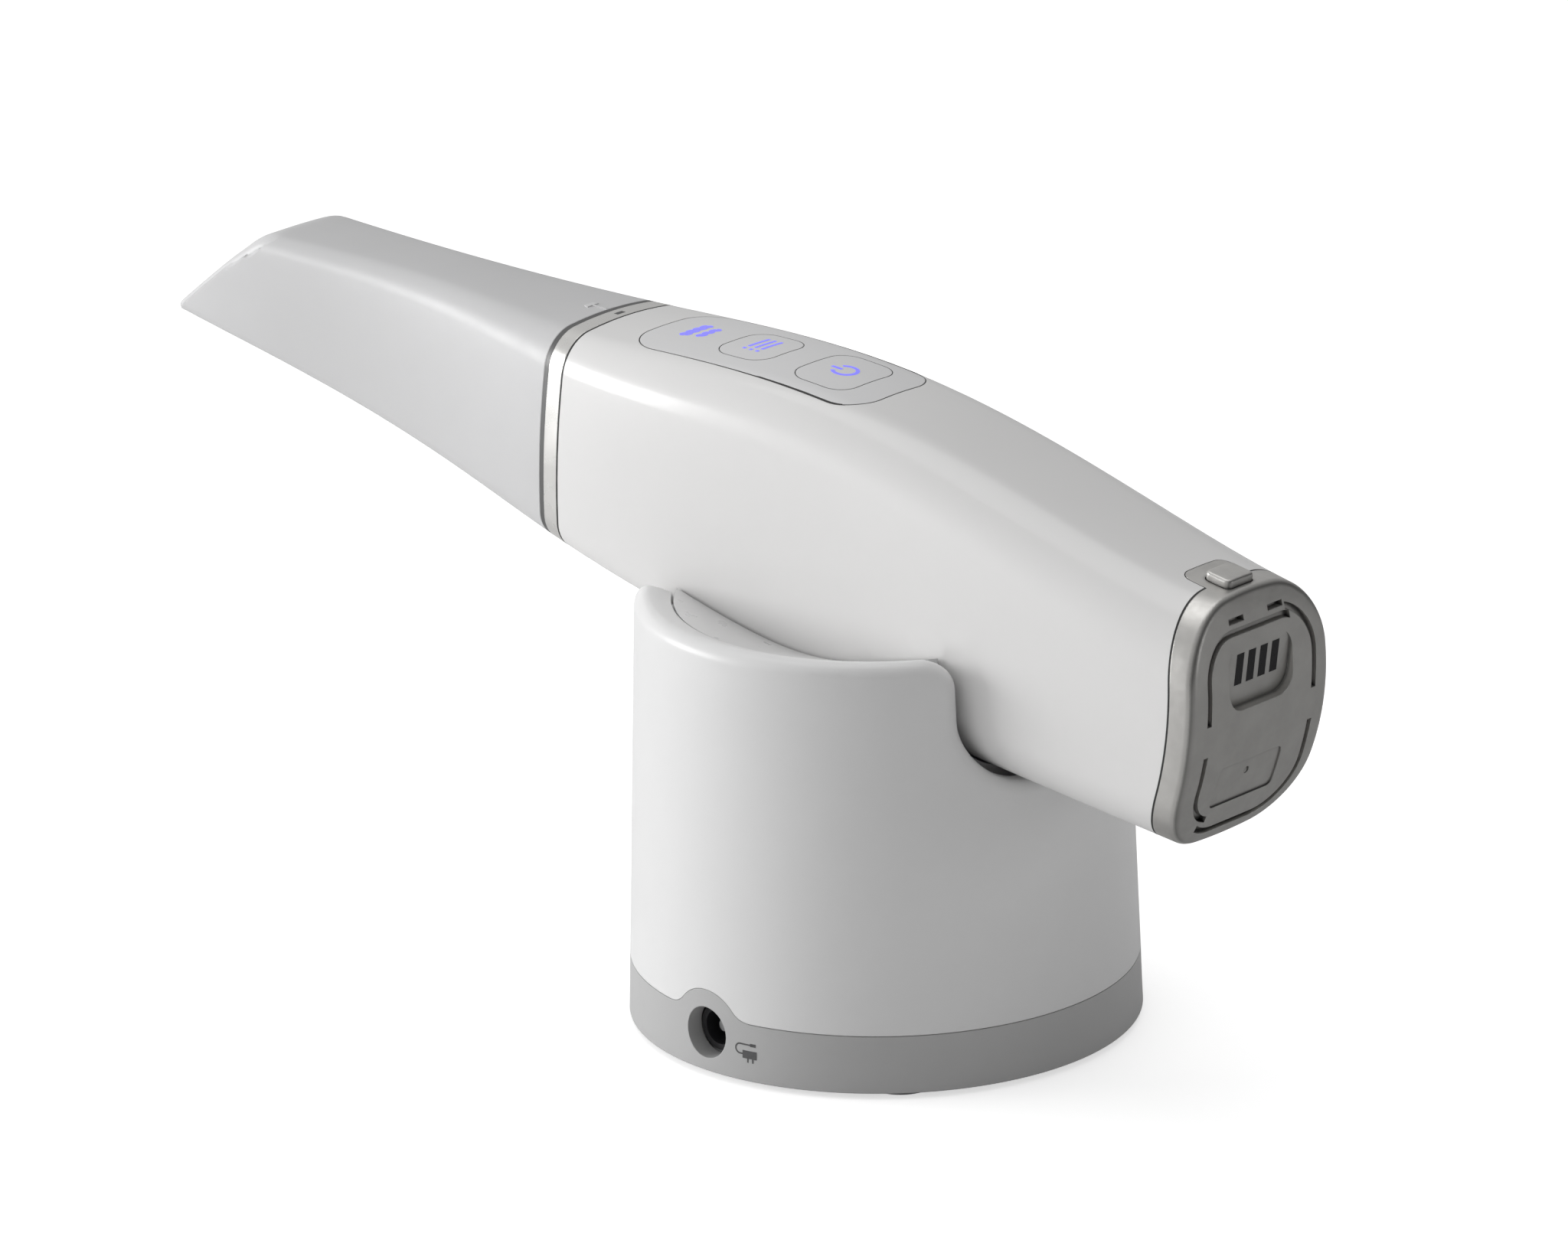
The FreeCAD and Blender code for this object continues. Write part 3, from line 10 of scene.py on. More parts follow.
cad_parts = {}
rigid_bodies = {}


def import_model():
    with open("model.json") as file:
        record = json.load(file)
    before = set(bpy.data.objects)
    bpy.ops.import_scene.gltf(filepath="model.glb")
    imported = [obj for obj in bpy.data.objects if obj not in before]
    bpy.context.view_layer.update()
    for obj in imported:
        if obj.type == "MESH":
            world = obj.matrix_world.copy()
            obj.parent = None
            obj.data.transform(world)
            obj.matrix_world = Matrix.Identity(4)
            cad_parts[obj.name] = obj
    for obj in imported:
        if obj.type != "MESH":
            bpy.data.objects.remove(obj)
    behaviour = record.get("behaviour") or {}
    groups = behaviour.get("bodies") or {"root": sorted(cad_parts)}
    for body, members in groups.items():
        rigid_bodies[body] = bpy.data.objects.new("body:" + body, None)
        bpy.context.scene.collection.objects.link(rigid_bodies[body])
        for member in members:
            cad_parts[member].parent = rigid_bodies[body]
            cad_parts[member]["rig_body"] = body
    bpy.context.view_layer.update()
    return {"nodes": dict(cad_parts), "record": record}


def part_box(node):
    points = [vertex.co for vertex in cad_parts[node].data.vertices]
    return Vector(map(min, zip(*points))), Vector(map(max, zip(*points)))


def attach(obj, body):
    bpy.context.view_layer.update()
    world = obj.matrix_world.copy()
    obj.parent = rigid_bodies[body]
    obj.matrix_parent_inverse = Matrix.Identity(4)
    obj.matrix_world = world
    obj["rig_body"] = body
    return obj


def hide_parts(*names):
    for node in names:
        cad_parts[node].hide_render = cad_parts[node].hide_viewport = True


# Looks for a wireless intraoral scanner lying across its charging cradle.
# Everything is in metres in the row frame; the helpers below take millimetres in the handpiece's own
# frame: s runs forwards from the rear face, w across, h up.

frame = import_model()
MM = 0.001

# ---- the handpiece's own frame ---------------------------------------------------------------
TILT = math.radians(7.64)  # the tip end is the higher one
CRADLE_X = (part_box("base_ring")[0][0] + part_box("base_ring")[1][0]) / 2 / MM
REAR = Vector((CRADLE_X + 77.1, 0.0, 65.2))
FORWARD = Vector((-math.cos(TILT), 0.0, math.sin(TILT)))
UPWARD = Vector((math.sin(TILT), 0.0, math.cos(TILT)))
AXES = np.array([FORWARD, (0.0, 1.0, 0.0), UPWARD])


def to_row(points):
    """Handpiece points (s, w, h) in millimetres to row points in metres."""
    return (np.asarray(points, float) @ AXES + np.array(REAR)) * MM


def to_handpiece(points):
    """Row points in metres to handpiece points (s, w, h) in millimetres."""
    return (np.asarray(points, float) / MM - np.array(REAR)) @ AXES.T


# ---- the handpiece's skin: cross-sections of eight tangent arcs, splined along its length -----
STATIONS = np.array([-1.0, 42.0, 84.0, 133.0, 160.0, 190.0, 231.0])
PROFILE = {
    "half": [16.9, 17.5, 17.5, 16.0, 11.6, 9.6, 9.0],
    "top": [20.9, 25.3, 29.1, 23.8, 21.1, 18.4, 15.5],
    "under": [21.4, 20.8, 19.7, 14.3, 10.9, 7.0, 3.7],
    "upper": [13.5, 10.5, 10.0, 7.0, 5.0, 3.6, 3.0],
    "lower": [12.5, 10.0, 9.0, 6.0, 4.5, 3.2, 2.6],
}
FLAT, SIDE = 75.0, 130.0  # radii of the top and underside arcs, and of the side arcs


def spline(values):
    """Cubic spline through the stations, with the same cubic across the first and last two spans."""
    knots, values = STATIONS, np.array(values, float)
    count, gap = len(knots), np.diff(knots)
    left, right = np.zeros((count, count)), np.zeros(count)
    slope = np.diff(values) / gap
    for i in range(1, count - 1):
        left[i, i - 1 : i + 2] = gap[i - 1], 2 * (gap[i - 1] + gap[i]), gap[i]
        right[i] = 6 * (slope[i] - slope[i - 1])
    left[0, :3] = gap[1], -gap[0] - gap[1], gap[0]
    left[-1, -3:] = gap[-1], -gap[-2] - gap[-1], gap[-2]
    bend = np.linalg.solve(left, right)

    def at(s):
        s = np.asarray(s, float)
        i = np.clip(np.searchsorted(knots, s) - 1, 0, count - 2)
        a, b = knots[i + 1] - s, s - knots[i]
        g = gap[i]
        return (
            bend[i] * a**3 / (6 * g)
            + bend[i + 1] * b**3 / (6 * g)
            + (values[i] / g - bend[i] * g / 6) * a
            + (values[i + 1] / g - bend[i + 1] * g / 6) * b
        )

    return at


SHAPE = {name: spline(values) for name, values in PROFILE.items()}


def corner(flat_up, flat_reach, side_w, side_up, side_reach):
    """Centres of the arcs that join a flat (top or underside) to a side."""
    gap_w, gap_h = side_w, side_up - flat_up
    apart = np.hypot(gap_w, gap_h)
    along = (flat_reach**2 - side_reach**2 + apart**2) / (2 * apart)
    off = np.sqrt(np.maximum(flat_reach**2 - along**2, 0))
    first_w = (along * gap_w - off * gap_h) / apart
    first_h = flat_up + (along * gap_h + off * gap_w) / apart
    second_w = (along * gap_w + off * gap_h) / apart
    second_h = flat_up + (along * gap_h - off * gap_w) / apart
    outer = second_w > first_w
    return np.where(outer, second_w, first_w), np.where(outer, second_h, first_h)


def skin_field(s, w, h):
    """Distance of handpiece points outside the skin, measured in their cross-section."""
    p = {name: at(s) for name, at in SHAPE.items()}
    w = np.abs(w)
    middle = (p["top"] - p["under"]) / 2
    side_w = p["half"] - SIDE
    top_up, under_up = p["top"] - FLAT, FLAT - p["under"]
    upper_w, upper_h = corner(top_up, FLAT - p["upper"], side_w, middle, SIDE - p["upper"])
    lower_w, lower_h = corner(under_up, FLAT - p["lower"], side_w, middle, SIDE - p["lower"])
    from_top = np.hypot(w, h - top_up) - FLAT
    from_under = np.hypot(w, h - under_up) - FLAT
    from_side = np.hypot(w - side_w, h - middle) - SIDE
    from_upper = np.hypot(w - upper_w, h - upper_h) - p["upper"]
    from_lower = np.hypot(w - lower_w, h - lower_h) - p["lower"]
    angle_up = np.arctan2(h - upper_h, w - upper_w)
    side_turn = np.arctan2(upper_h - middle, upper_w - side_w)
    top_turn = np.arctan2(upper_h - top_up, upper_w)
    angle_low = np.arctan2(lower_h - h, w - lower_w)
    side_drop = np.arctan2(middle - lower_h, lower_w - side_w)
    under_turn = np.arctan2(under_up - lower_h, lower_w)
    upper_side = np.where(angle_up > side_turn, from_upper, from_side)
    lower_side = np.where(angle_low > side_drop, from_lower, from_side)
    up = np.where(angle_up > top_turn, from_top, upper_side)
    low = np.where(angle_low > under_turn, from_under, lower_side)
    return np.where(h > middle, up, low)


def skin_normals(points):
    """Skin normals in the row frame at handpiece points."""
    s, w, h = points.T
    step = 0.05
    grad = np.stack(
        [
            skin_field(s + step, w, h) - skin_field(s - step, w, h),
            skin_field(s, w + step, h) - skin_field(s, w - step, h),
            skin_field(s, w, h + step) - skin_field(s, w, h - step),
        ],
        axis=1,
    )
    grad /= np.maximum(np.linalg.norm(grad, axis=1, keepdims=True), 1e-9)
    return grad @ AXES


def skin_top(s, w):
    """Height of the handpiece's top at a station, w off its middle."""
    s, w = np.asarray(s, float), np.asarray(w, float)
    return SHAPE["top"](s) - FLAT + np.sqrt(FLAT**2 - w**2)


# ---- materials -------------------------------------------------------------------------------
def new_material(name):
    """An empty material with one surface shader, ready for its inputs."""
    material = bpy.data.materials.new(name)
    material.use_nodes = True
    nodes = material.node_tree.nodes
    nodes.clear()
    output = nodes.new("ShaderNodeOutputMaterial")
    shader = nodes.new("ShaderNodeBsdfPrincipled")
    material.node_tree.links.new(shader.outputs["BSDF"], output.inputs["Surface"])
    return material, nodes, material.node_tree.links, shader


def noise(nodes, links, scale, detail=2.0, stretch=None):
    """A noise texture in object space, with its scale in features per metre."""
    place = nodes.new("ShaderNodeTexCoord")
    texture = nodes.new("ShaderNodeTexNoise")
    texture.inputs["Scale"].default_value = scale
    texture.inputs["Detail"].default_value = detail
    if stretch is None:
        links.new(place.outputs["Object"], texture.inputs["Vector"])
    else:
        mapping = nodes.new("ShaderNodeMapping")
        mapping.inputs["Scale"].default_value = stretch
        links.new(place.outputs["Object"], mapping.inputs["Vector"])
        links.new(mapping.outputs["Vector"], texture.inputs["Vector"])
    return texture.outputs["Fac"]


def spread(nodes, links, source, low, high):
    """Maps a noise value's middle range to low..high."""
    remap = nodes.new("ShaderNodeMapRange")
    remap.inputs["From Min"].default_value = 0.3
    remap.inputs["From Max"].default_value = 0.7
    remap.inputs["To Min"].default_value = low
    remap.inputs["To Max"].default_value = high
    links.new(source, remap.inputs["Value"])
    return remap.outputs["Result"]


def painted_shade_by_direction(nodes, links, colour, painted_shade_facing):
    """Paints shade into a colour on faces that point one way, by a ramp from side-on (0) to head-on (1)."""
    if painted_shade_facing is None:
        return colour
    direction, stops = painted_shade_facing
    geometry = nodes.new("ShaderNodeNewGeometry")
    dot = nodes.new("ShaderNodeVectorMath")
    dot.operation = "DOT_PRODUCT"
    dot.inputs[1].default_value = direction
    links.new(geometry.outputs["Normal"], dot.inputs[0])
    ramp = nodes.new("ShaderNodeValToRGB")
    for index, (place, level) in enumerate(stops):
        stop = ramp.color_ramp.elements[index] if index < 2 else ramp.color_ramp.elements.new(place)
        stop.position = place
        stop.color = (level, level, level, 1)
    links.new(dot.outputs["Value"], ramp.inputs["Fac"])
    product = nodes.new("ShaderNodeMix")
    product.data_type = "RGBA"
    product.blend_type = "MULTIPLY"
    product.inputs["Factor"].default_value = 1.0
    links.new(colour, product.inputs["A"])
    links.new(ramp.outputs["Color"], product.inputs["B"])
    return product.outputs["Result"]


def painted_crevice_shade(nodes, links, colour, reach):
    """Paints shade into a colour where the surface is shut in within reach millimetres, for deep narrow
    grooves and gaps.
    """
    if reach is None:
        return colour
    shut_in = nodes.new("ShaderNodeAmbientOcclusion")
    shut_in.samples = 8
    shut_in.inputs["Distance"].default_value = reach * MM
    remap = nodes.new("ShaderNodeMapRange")
    remap.inputs["From Min"].default_value = 0.3
    remap.inputs["From Max"].default_value = 0.92
    remap.inputs["To Min"].default_value = 0.08
    links.new(shut_in.outputs["AO"], remap.inputs["Value"])
    product = nodes.new("ShaderNodeMix")
    product.data_type = "RGBA"
    product.blend_type = "MULTIPLY"
    product.inputs["Factor"].default_value = 1.0
    links.new(colour, product.inputs["A"])
    links.new(remap.outputs["Result"], product.inputs["B"])
    return product.outputs["Result"]


def finish_material(
    name,
    color,
    rough,
    metal=0.0,
    coat=0.0,
    coat_rough=0.08,
    shade=0.02,
    shade_scale=60.0,
    rough_var=0.04,
    grain=0.0,
    grain_scale=4000.0,
    stretch=None,
    edge=0.0,
    glow=None,
    transmission=0.0,
    scatter=0.0,
    gloss=0.5,
    painted_shade_facing=None,
    crevice_shade_reach=None,
):
    """Moulded plastic, painted or bare metal, rubber or glass, with shade, gloss and grain from noise, and
    painted shade on faces turned one way and in narrow hollows where asked.
    """
    material, nodes, links, shader = new_material(name)
    cloud = noise(nodes, links, shade_scale, 3.0)
    mix = nodes.new("ShaderNodeMix")
    mix.data_type = "RGBA"
    dark = [max(0.0, c * (1 - shade)) for c in color]
    light = [min(1.0, c * (1 + shade)) for c in color]
    mix.inputs["A"].default_value = (*dark, 1)
    mix.inputs["B"].default_value = (*light, 1)
    links.new(spread(nodes, links, cloud, 0.0, 1.0), mix.inputs["Factor"])
    # painted shade: the colour is darkened on faces turned one way, where asked
    colour = painted_shade_by_direction(nodes, links, mix.outputs["Result"], painted_shade_facing)
    # painted shade: the colour is darkened in narrow grooves and gaps, where asked
    colour = painted_crevice_shade(nodes, links, colour, crevice_shade_reach)
    links.new(colour, shader.inputs["Base Color"])
    patch = noise(nodes, links, shade_scale * 3.1, 4.0)
    links.new(
        spread(nodes, links, patch, max(0.02, rough - rough_var), rough + rough_var),
        shader.inputs["Roughness"],
    )
    shader.inputs["Metallic"].default_value = metal
    shader.inputs["Specular IOR Level"].default_value = gloss
    shader.inputs["Coat Weight"].default_value = coat
    shader.inputs["Coat Roughness"].default_value = coat_rough
    shader.inputs["Transmission Weight"].default_value = transmission
    if scatter:
        shader.inputs["Subsurface Weight"].default_value = scatter
        shader.inputs["Subsurface Radius"].default_value = (0.002, 0.002, 0.002)
        shader.inputs["Subsurface Scale"].default_value = 0.5
    normal = None
    if edge:
        rounding = nodes.new("ShaderNodeBevel")
        rounding.samples = 4
        rounding.inputs["Radius"].default_value = edge * MM
        normal = rounding.outputs["Normal"]
    if grain:
        bump = nodes.new("ShaderNodeBump")
        bump.inputs["Strength"].default_value = 1.0
        bump.inputs["Distance"].default_value = grain * MM
        links.new(noise(nodes, links, grain_scale, 2.0, stretch), bump.inputs["Height"])
        if normal is not None:
            links.new(normal, bump.inputs["Normal"])
        normal = bump.outputs["Normal"]
    if normal is not None:
        links.new(normal, shader.inputs["Normal"])
    if glow is not None:
        shader.inputs["Emission Color"].default_value = (*glow[:3], 1)
        shader.inputs["Emission Strength"].default_value = glow[3]
    return material


# painted shade on the cap: its side band is left bright, its crease painted dark and its rear face painted
# deeper than the band
CAP_PAINTED_SHADE = (tuple(-FORWARD), [(0.0, 1.0), (1.0, 0.56), (0.5, 0.85), (0.72, 0.36), (0.9, 0.5)])
LOOKS = {
    "body_white": dict(color=(0.84, 0.835, 0.83), rough=0.30, coat=0.35, coat_rough=0.12, shade=0.006,
                       rough_var=0.012, grain=0.0002, grain_scale=3000, edge=0.12),
    "tip_grey": dict(color=(0.65, 0.65, 0.655), rough=0.40, shade=0.012, grain=0.0012, grain_scale=2500,
                     edge=0.5),
    "mirror_glass": dict(color=(0.92, 0.93, 0.94), rough=0.02, metal=1.0, shade=0.005, rough_var=0.005),
    "seal_grey": dict(color=(0.13, 0.13, 0.13), rough=0.45, metal=0.5, shade=0.05, grain=0.002, edge=0.15),
    "satin_nickel": dict(color=(0.80, 0.79, 0.77), rough=0.27, metal=1.0, shade=0.03, grain=0.0035,
                         grain_scale=3500, edge=0.25, rough_var=0.05),
    "gasket_black": dict(color=(0.018, 0.018, 0.018), rough=0.55, shade=0.1, grain=0.002),
    # painted shade: the panel's gaps are darkened as the shade that falls in them
    "panel_grey": dict(color=(0.79, 0.79, 0.795), rough=0.42, shade=0.01, grain=0.002, grain_scale=5000,
                       edge=0.2, crevice_shade_reach=0.35),
    "contact_gold": dict(color=(0.86, 0.62, 0.26), rough=0.22, metal=1.0, shade=0.03),
    "board_green": dict(color=(0.03, 0.17, 0.08), rough=0.4, coat=0.4, shade=0.12, shade_scale=400),
    "black_plastic": dict(color=(0.022, 0.022, 0.024), rough=0.42, shade=0.1, grain=0.003, edge=0.1),
    "clear_glass": dict(color=(0.9, 0.95, 0.97), rough=0.02, transmission=1.0, shade=0.005, rough_var=0.005),
    "frame_aluminium": dict(color=(0.72, 0.73, 0.75), rough=0.35, metal=1.0, shade=0.04, grain=0.003,
                            grain_scale=2500, stretch=(1, 12, 12), edge=0.15),
    "light_guide": dict(color=(0.75, 0.8, 0.95), rough=0.3, shade=0.02, scatter=0.2),
    "flex_amber": dict(color=(0.45, 0.19, 0.035), rough=0.35, coat=0.4, shade=0.08, shade_scale=300),
    # painted shade: the cap's rear face and crease are darkened by the direction ramp, and its grooves and
    # the gaps round the latch by painted hollow shade
    "cap_metallic": dict(color=(0.60, 0.59, 0.57), rough=0.36, metal=0.8, shade=0.05, shade_scale=260,
                         grain=0.006, grain_scale=4200, edge=0.18, rough_var=0.05, painted_shade_facing=CAP_PAINTED_SHADE,
                         crevice_shade_reach=0.9),
    "bar_smoke": dict(color=(0.008, 0.008, 0.009), rough=0.3, gloss=0.12, shade=0.15, shade_scale=900),
    "casing_grey": dict(color=(0.2, 0.205, 0.21), rough=0.45, shade=0.05, grain=0.004, edge=0.2),
    "cell_silver": dict(color=(0.6, 0.62, 0.66), rough=0.3, metal=0.9, shade=0.05, grain=0.004, edge=0.3),
    "steel": dict(color=(0.6, 0.6, 0.61), rough=0.25, metal=1.0, shade=0.04, edge=0.1),
    "cradle_white": dict(color=(0.80, 0.80, 0.80), rough=0.38, coat=0.12, coat_rough=0.25, shade=0.008,
                         grain=0.0012, grain_scale=2200, edge=0.2),
    "liner_white": dict(color=(0.80, 0.80, 0.80), rough=0.3, coat=0.3, coat_rough=0.15, shade=0.01,
                        grain=0.001, grain_scale=1500, edge=0.2),
    "base_grey": dict(color=(0.48, 0.48, 0.48), rough=0.40, coat=0.15, coat_rough=0.3, shade=0.015,
                      grain=0.003, grain_scale=4000, edge=0.25),
    "plate_grey": dict(color=(0.25, 0.255, 0.26), rough=0.5, shade=0.04, grain=0.008, grain_scale=1800,
                       edge=0.2),
    "foot_rubber": dict(color=(0.33, 0.335, 0.34), rough=0.7, shade=0.04, grain=0.01, grain_scale=1500,
                        edge=0.2),
    "ballast_iron": dict(color=(0.12, 0.12, 0.125), rough=0.6, metal=0.6, shade=0.12, grain=0.02,
                         grain_scale=900, edge=0.3),
    "glow_blue": dict(color=(0.18, 0.17, 0.9), rough=0.35, shade=0.03, glow=(0.16, 0.15, 1.0, 0.75)),
    "mark_grey": dict(color=(0.09, 0.09, 0.092), rough=0.5, shade=0.05),
    "mark_pale": dict(color=(0.74, 0.74, 0.745), rough=0.35, shade=0.01, edge=0.15),
    "socket_dark": dict(color=(0.012, 0.012, 0.012), rough=0.35, shade=0.1),
}
MATERIAL = {name: finish_material(name, **look) for name, look in LOOKS.items()}

SLOT_OF = {part["node"]: part["material_slot"] for part in frame["record"]["subparts"]}
for node_name, item in frame["nodes"].items():
    item.data.materials.clear()
    item.data.materials.append(MATERIAL[SLOT_OF[node_name]])


# ---- mesh helpers ----------------------------------------------------------------------------
WELD_GAP = 2e-7  # metres
SKIN_REACH = 0.8  # how far off the skin a point may lie and still take the skin's normal
SAME_WAY = 0.86  # least cosine between a triangle's normal and the skin's for it to be taken
STRIP_LANES = 3  # lanes of faces across an inlay


def body_of(node_name):
    """The moving body that a CAD node rides on."""
    return frame["nodes"][node_name]["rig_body"]


def add_mesh(name, points, faces, look, body, smooth_angle=None, slot=None):
    """A new piece from points in metres in the row frame."""
    mesh = bpy.data.meshes.new(name)
    mesh.from_pydata([tuple(p) for p in points], [], [tuple(f) for f in faces])
    mesh.validate()
    mesh.update()
    if smooth_angle is not None:
        mesh.shade_smooth()
        mesh.set_sharp_from_angle(angle=math.radians(smooth_angle))
    piece = bpy.data.objects.new(name, mesh)
    bpy.context.scene.collection.objects.link(piece)
    mesh.materials.append(MATERIAL[look])
    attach(piece, body)
    slot or look
    return piece


def welded(node_name):
    """A CAD node's triangles with the seams between its faces closed."""
    mesh = frame["nodes"][node_name].data
    points = np.empty(len(mesh.vertices) * 3)
    mesh.vertices.foreach_get("co", points)
    points = points.reshape(-1, 3)
    keys = np.round(points / WELD_GAP).astype(np.int64)
    _, first, index = np.unique(keys, axis=0, return_index=True, return_inverse=True)
    index = index.ravel()
    faces = np.empty(len(mesh.polygons) * 3, int)
    mesh.polygons.foreach_get("vertices", faces)
    faces = index[faces].reshape(-1, 3)
    good = (faces != np.roll(faces, 1, axis=1)).all(axis=1)
    return points[first], faces[good]


def refined(node_name, name, angle=30.0, field=None):
    """A piece that stands for a CAD node, shaded by the form's true normals instead of its triangles'."""
    points, faces = welded(node_name)
    piece = add_mesh(name, points, faces, SLOT_OF[node_name], body_of(node_name), angle)
    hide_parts(node_name)
    mesh = piece.data
    if field is not None:
        loops = np.empty(len(mesh.loops) * 3, np.float32)
        mesh.corner_normals.foreach_get("vector", loops)
        loops = loops.reshape(-1, 3).astype(float)
        owner = np.empty(len(mesh.loops), int)
        mesh.loops.foreach_get("vertex_index", owner)
        flat = np.empty(len(mesh.polygons) * 3)
        mesh.polygons.foreach_get("normal", flat)
        flat = np.repeat(flat.reshape(-1, 3), 3, axis=0)
        normals, distance = field(points)
        wanted = normals[owner]
        close = (np.abs(distance[owner]) < SKIN_REACH) & ((wanted * flat).sum(1) > SAME_WAY)
        loops[close] = wanted[close]
        mesh.normals_split_custom_set(loops.tolist())
    return piece


def on_skin(points):
    """Normals and distances of row points by the handpiece's skin."""
    local = to_handpiece(points)
    return skin_normals(local), skin_field(*local.T)


def strip(name, centre, widths, look, body, place, thickness, closed=False, slot=None):
    """A flat inlay along a centre line: place maps (line u, line v, lift) to row points."""
    centre = np.asarray(centre, float)
    count = len(centre)
    widths = np.broadcast_to(np.asarray(widths, float), count)
    if closed:
        along = np.roll(centre, -1, axis=0) - np.roll(centre, 1, axis=0)
    else:
        along = np.gradient(centre, axis=0)
    along /= np.linalg.norm(along, axis=1, keepdims=True)
    side = np.stack([-along[:, 1], along[:, 0]], axis=1)
    points = []
    across, rows = STRIP_LANES, STRIP_LANES + 1
    for lift in (thickness, -thickness):
        for k in range(rows):
            share = k / across - 0.5
            row = centre + side * (widths * share)[:, None]
            points.append(place(row[:, 0], row[:, 1], lift))

    def at(layer, k, i):
        return (layer * rows + k) * count + i % count

    faces = []
    spans = count if closed else count - 1
    for i in range(spans):
        for k in range(across):
            faces.append((at(0, k, i), at(0, k, i + 1), at(0, k + 1, i + 1), at(0, k + 1, i)))
            faces.append((at(1, k, i), at(1, k + 1, i), at(1, k + 1, i + 1), at(1, k, i + 1)))
        faces.append((at(0, 0, i), at(1, 0, i), at(1, 0, i + 1), at(0, 0, i + 1)))
        faces.append((at(0, across, i), at(0, across, i + 1), at(1, across, i + 1), at(1, across, i)))
    if not closed:
        for i in (0, count - 1):
            for k in range(across):
                quad = (at(0, k, i), at(0, k + 1, i), at(1, k + 1, i), at(1, k, i))
                faces.append(quad if i == 0 else quad[::-1])
    piece = add_mesh(name, np.concatenate(points), faces, look, body, slot=slot)
    bm = bmesh.new()
    bm.from_mesh(piece.data)
    bmesh.ops.recalc_face_normals(bm, faces=bm.faces)
    bm.to_mesh(piece.data)
    bm.free()
    return piece


LOOK_FROM = 60.0  # higher than any part of the handpiece, in its own frame


def on_top(node_name):
    """A placer that lays inlay points on a node's top, found by looking down the handpiece's up axis."""
    points, faces = welded(node_name)
    tree = BVHTree.FromPolygons([Vector(p) for p in points], [tuple(f) for f in faces])

    def place(s, w, lift):
        height = skin_top(s, w)
        for index, (along, across) in enumerate(zip(s, w)):
            start = Vector(to_row([along, across, LOOK_FROM]))
            hit = tree.ray_cast(start, -UPWARD)[0]
            if hit is not None:
                height[index] = to_handpiece(hit)[2]
        return to_row(np.stack([s, w, height + lift], axis=1))

    return place


TIP_END_LINE = 225.3  # s + h on the tip's bevelled end, which is cut at 45 degrees
TIP_ROUND_LOW, TIP_ROUND_HIGH = 1.1, 2.3
TIP_BLEND_FROM, TIP_BLEND_OVER = 8.0, 7.0
BEVEL_DEPTHS = (5.0, 3.4, 2.4, 1.7, 1.1, 0.6, 0.25)
BEVEL_ACROSS = (8.4, 7.6, 6.8, 5.6)
BEVEL_UP = (15.4, 14.6, 13.6, 12.4, -0.6, -1.6, -2.4)
ROUND_STEPS = 4


def tip_round(h):
    """Radius of the edge round the tip's bevel: tight at the bottom, broader where it meets the top."""
    blend = np.clip((h - TIP_BLEND_FROM) / TIP_BLEND_OVER, 0, 1)
    return TIP_ROUND_LOW + (TIP_ROUND_HIGH - TIP_ROUND_LOW) * blend * blend * (3 - 2 * blend)


def rounded_end(local):
    """How far handpiece points are outside the tip's form once the edge round its bevel is rounded."""
    s, w, h = local.T
    radius = tip_round(h)
    from_skin = skin_field(s, w, h) + radius
    from_bevel = (s + h - TIP_END_LINE) / math.sqrt(2) + radius
    both = (from_skin > 0) & (from_bevel > 0)
    return np.where(both, np.hypot(from_skin, from_bevel) - radius, -1.0)


def slice_mesh(bm, point, normal, faces=None):
    """Adds a line of edges where a plane, given in the handpiece's frame, crosses the mesh."""
    place = Vector(to_row(point))
    direction = Vector(to_row(np.add(point, normal))) - place
    chosen = bm.faces if faces is None else faces
    edges = {edge for face in chosen for edge in face.edges}
    corners = {vertex for face in chosen for vertex in face.verts}
    bmesh.ops.bisect_plane(
        bm, geom=[*chosen, *edges, *corners], plane_co=place, plane_no=direction.normalized(), dist=1e-7
    )


def round_tip(piece):
    """Rounds the sharp edge round the tip's bevelled end on the tip's own mesh."""
    bm = bmesh.new()
    bm.from_mesh(piece.data)
    for depth in BEVEL_DEPTHS:
        slice_mesh(bm, (TIP_END_LINE - depth * math.sqrt(2), 0, 0), (1, 0, 1))

    def bevel_faces():
        """The faces that lie on the bevel itself."""
        chosen = []
        for face in bm.faces:
            spots = to_handpiece([tuple(v.co) for v in face.verts])
            if (spots[:, 0] + spots[:, 2]).min() > TIP_END_LINE - 0.05:
                chosen.append(face)
        return chosen

    for across in BEVEL_ACROSS:
        slice_mesh(bm, (0, across, 0), (0, 1, 0), bevel_faces())
        slice_mesh(bm, (0, -across, 0), (0, 1, 0), bevel_faces())
    for up in BEVEL_UP:
        slice_mesh(bm, (0, 0, up), (0, 0, 1), bevel_faces())
    bmesh.ops.triangulate(bm, faces=[f for f in bm.faces if len(f.verts) > 4])
    local = to_handpiece([tuple(v.co) for v in bm.verts])
    step = 0.02
    for _ in range(ROUND_STEPS):
        outside = rounded_end(local)
        moving = outside > 0
        spots = local[moving]
        rises = [rounded_end(spots + nudge) - rounded_end(spots - nudge) for nudge in step * np.eye(3)]
        slope = np.stack(rises, axis=1) / (2 * step)
        slope /= np.maximum((slope**2).sum(1, keepdims=True), 0.25)
        local[moving] = spots - outside[moving][:, None] * slope
    for vertex, place in zip(bm.verts, to_row(local)):
        vertex.co = place
    bm.to_mesh(piece.data)
    bm.free()
    piece.data.shade_smooth()
    piece.data.set_sharp_from_angle(angle=math.radians(40))


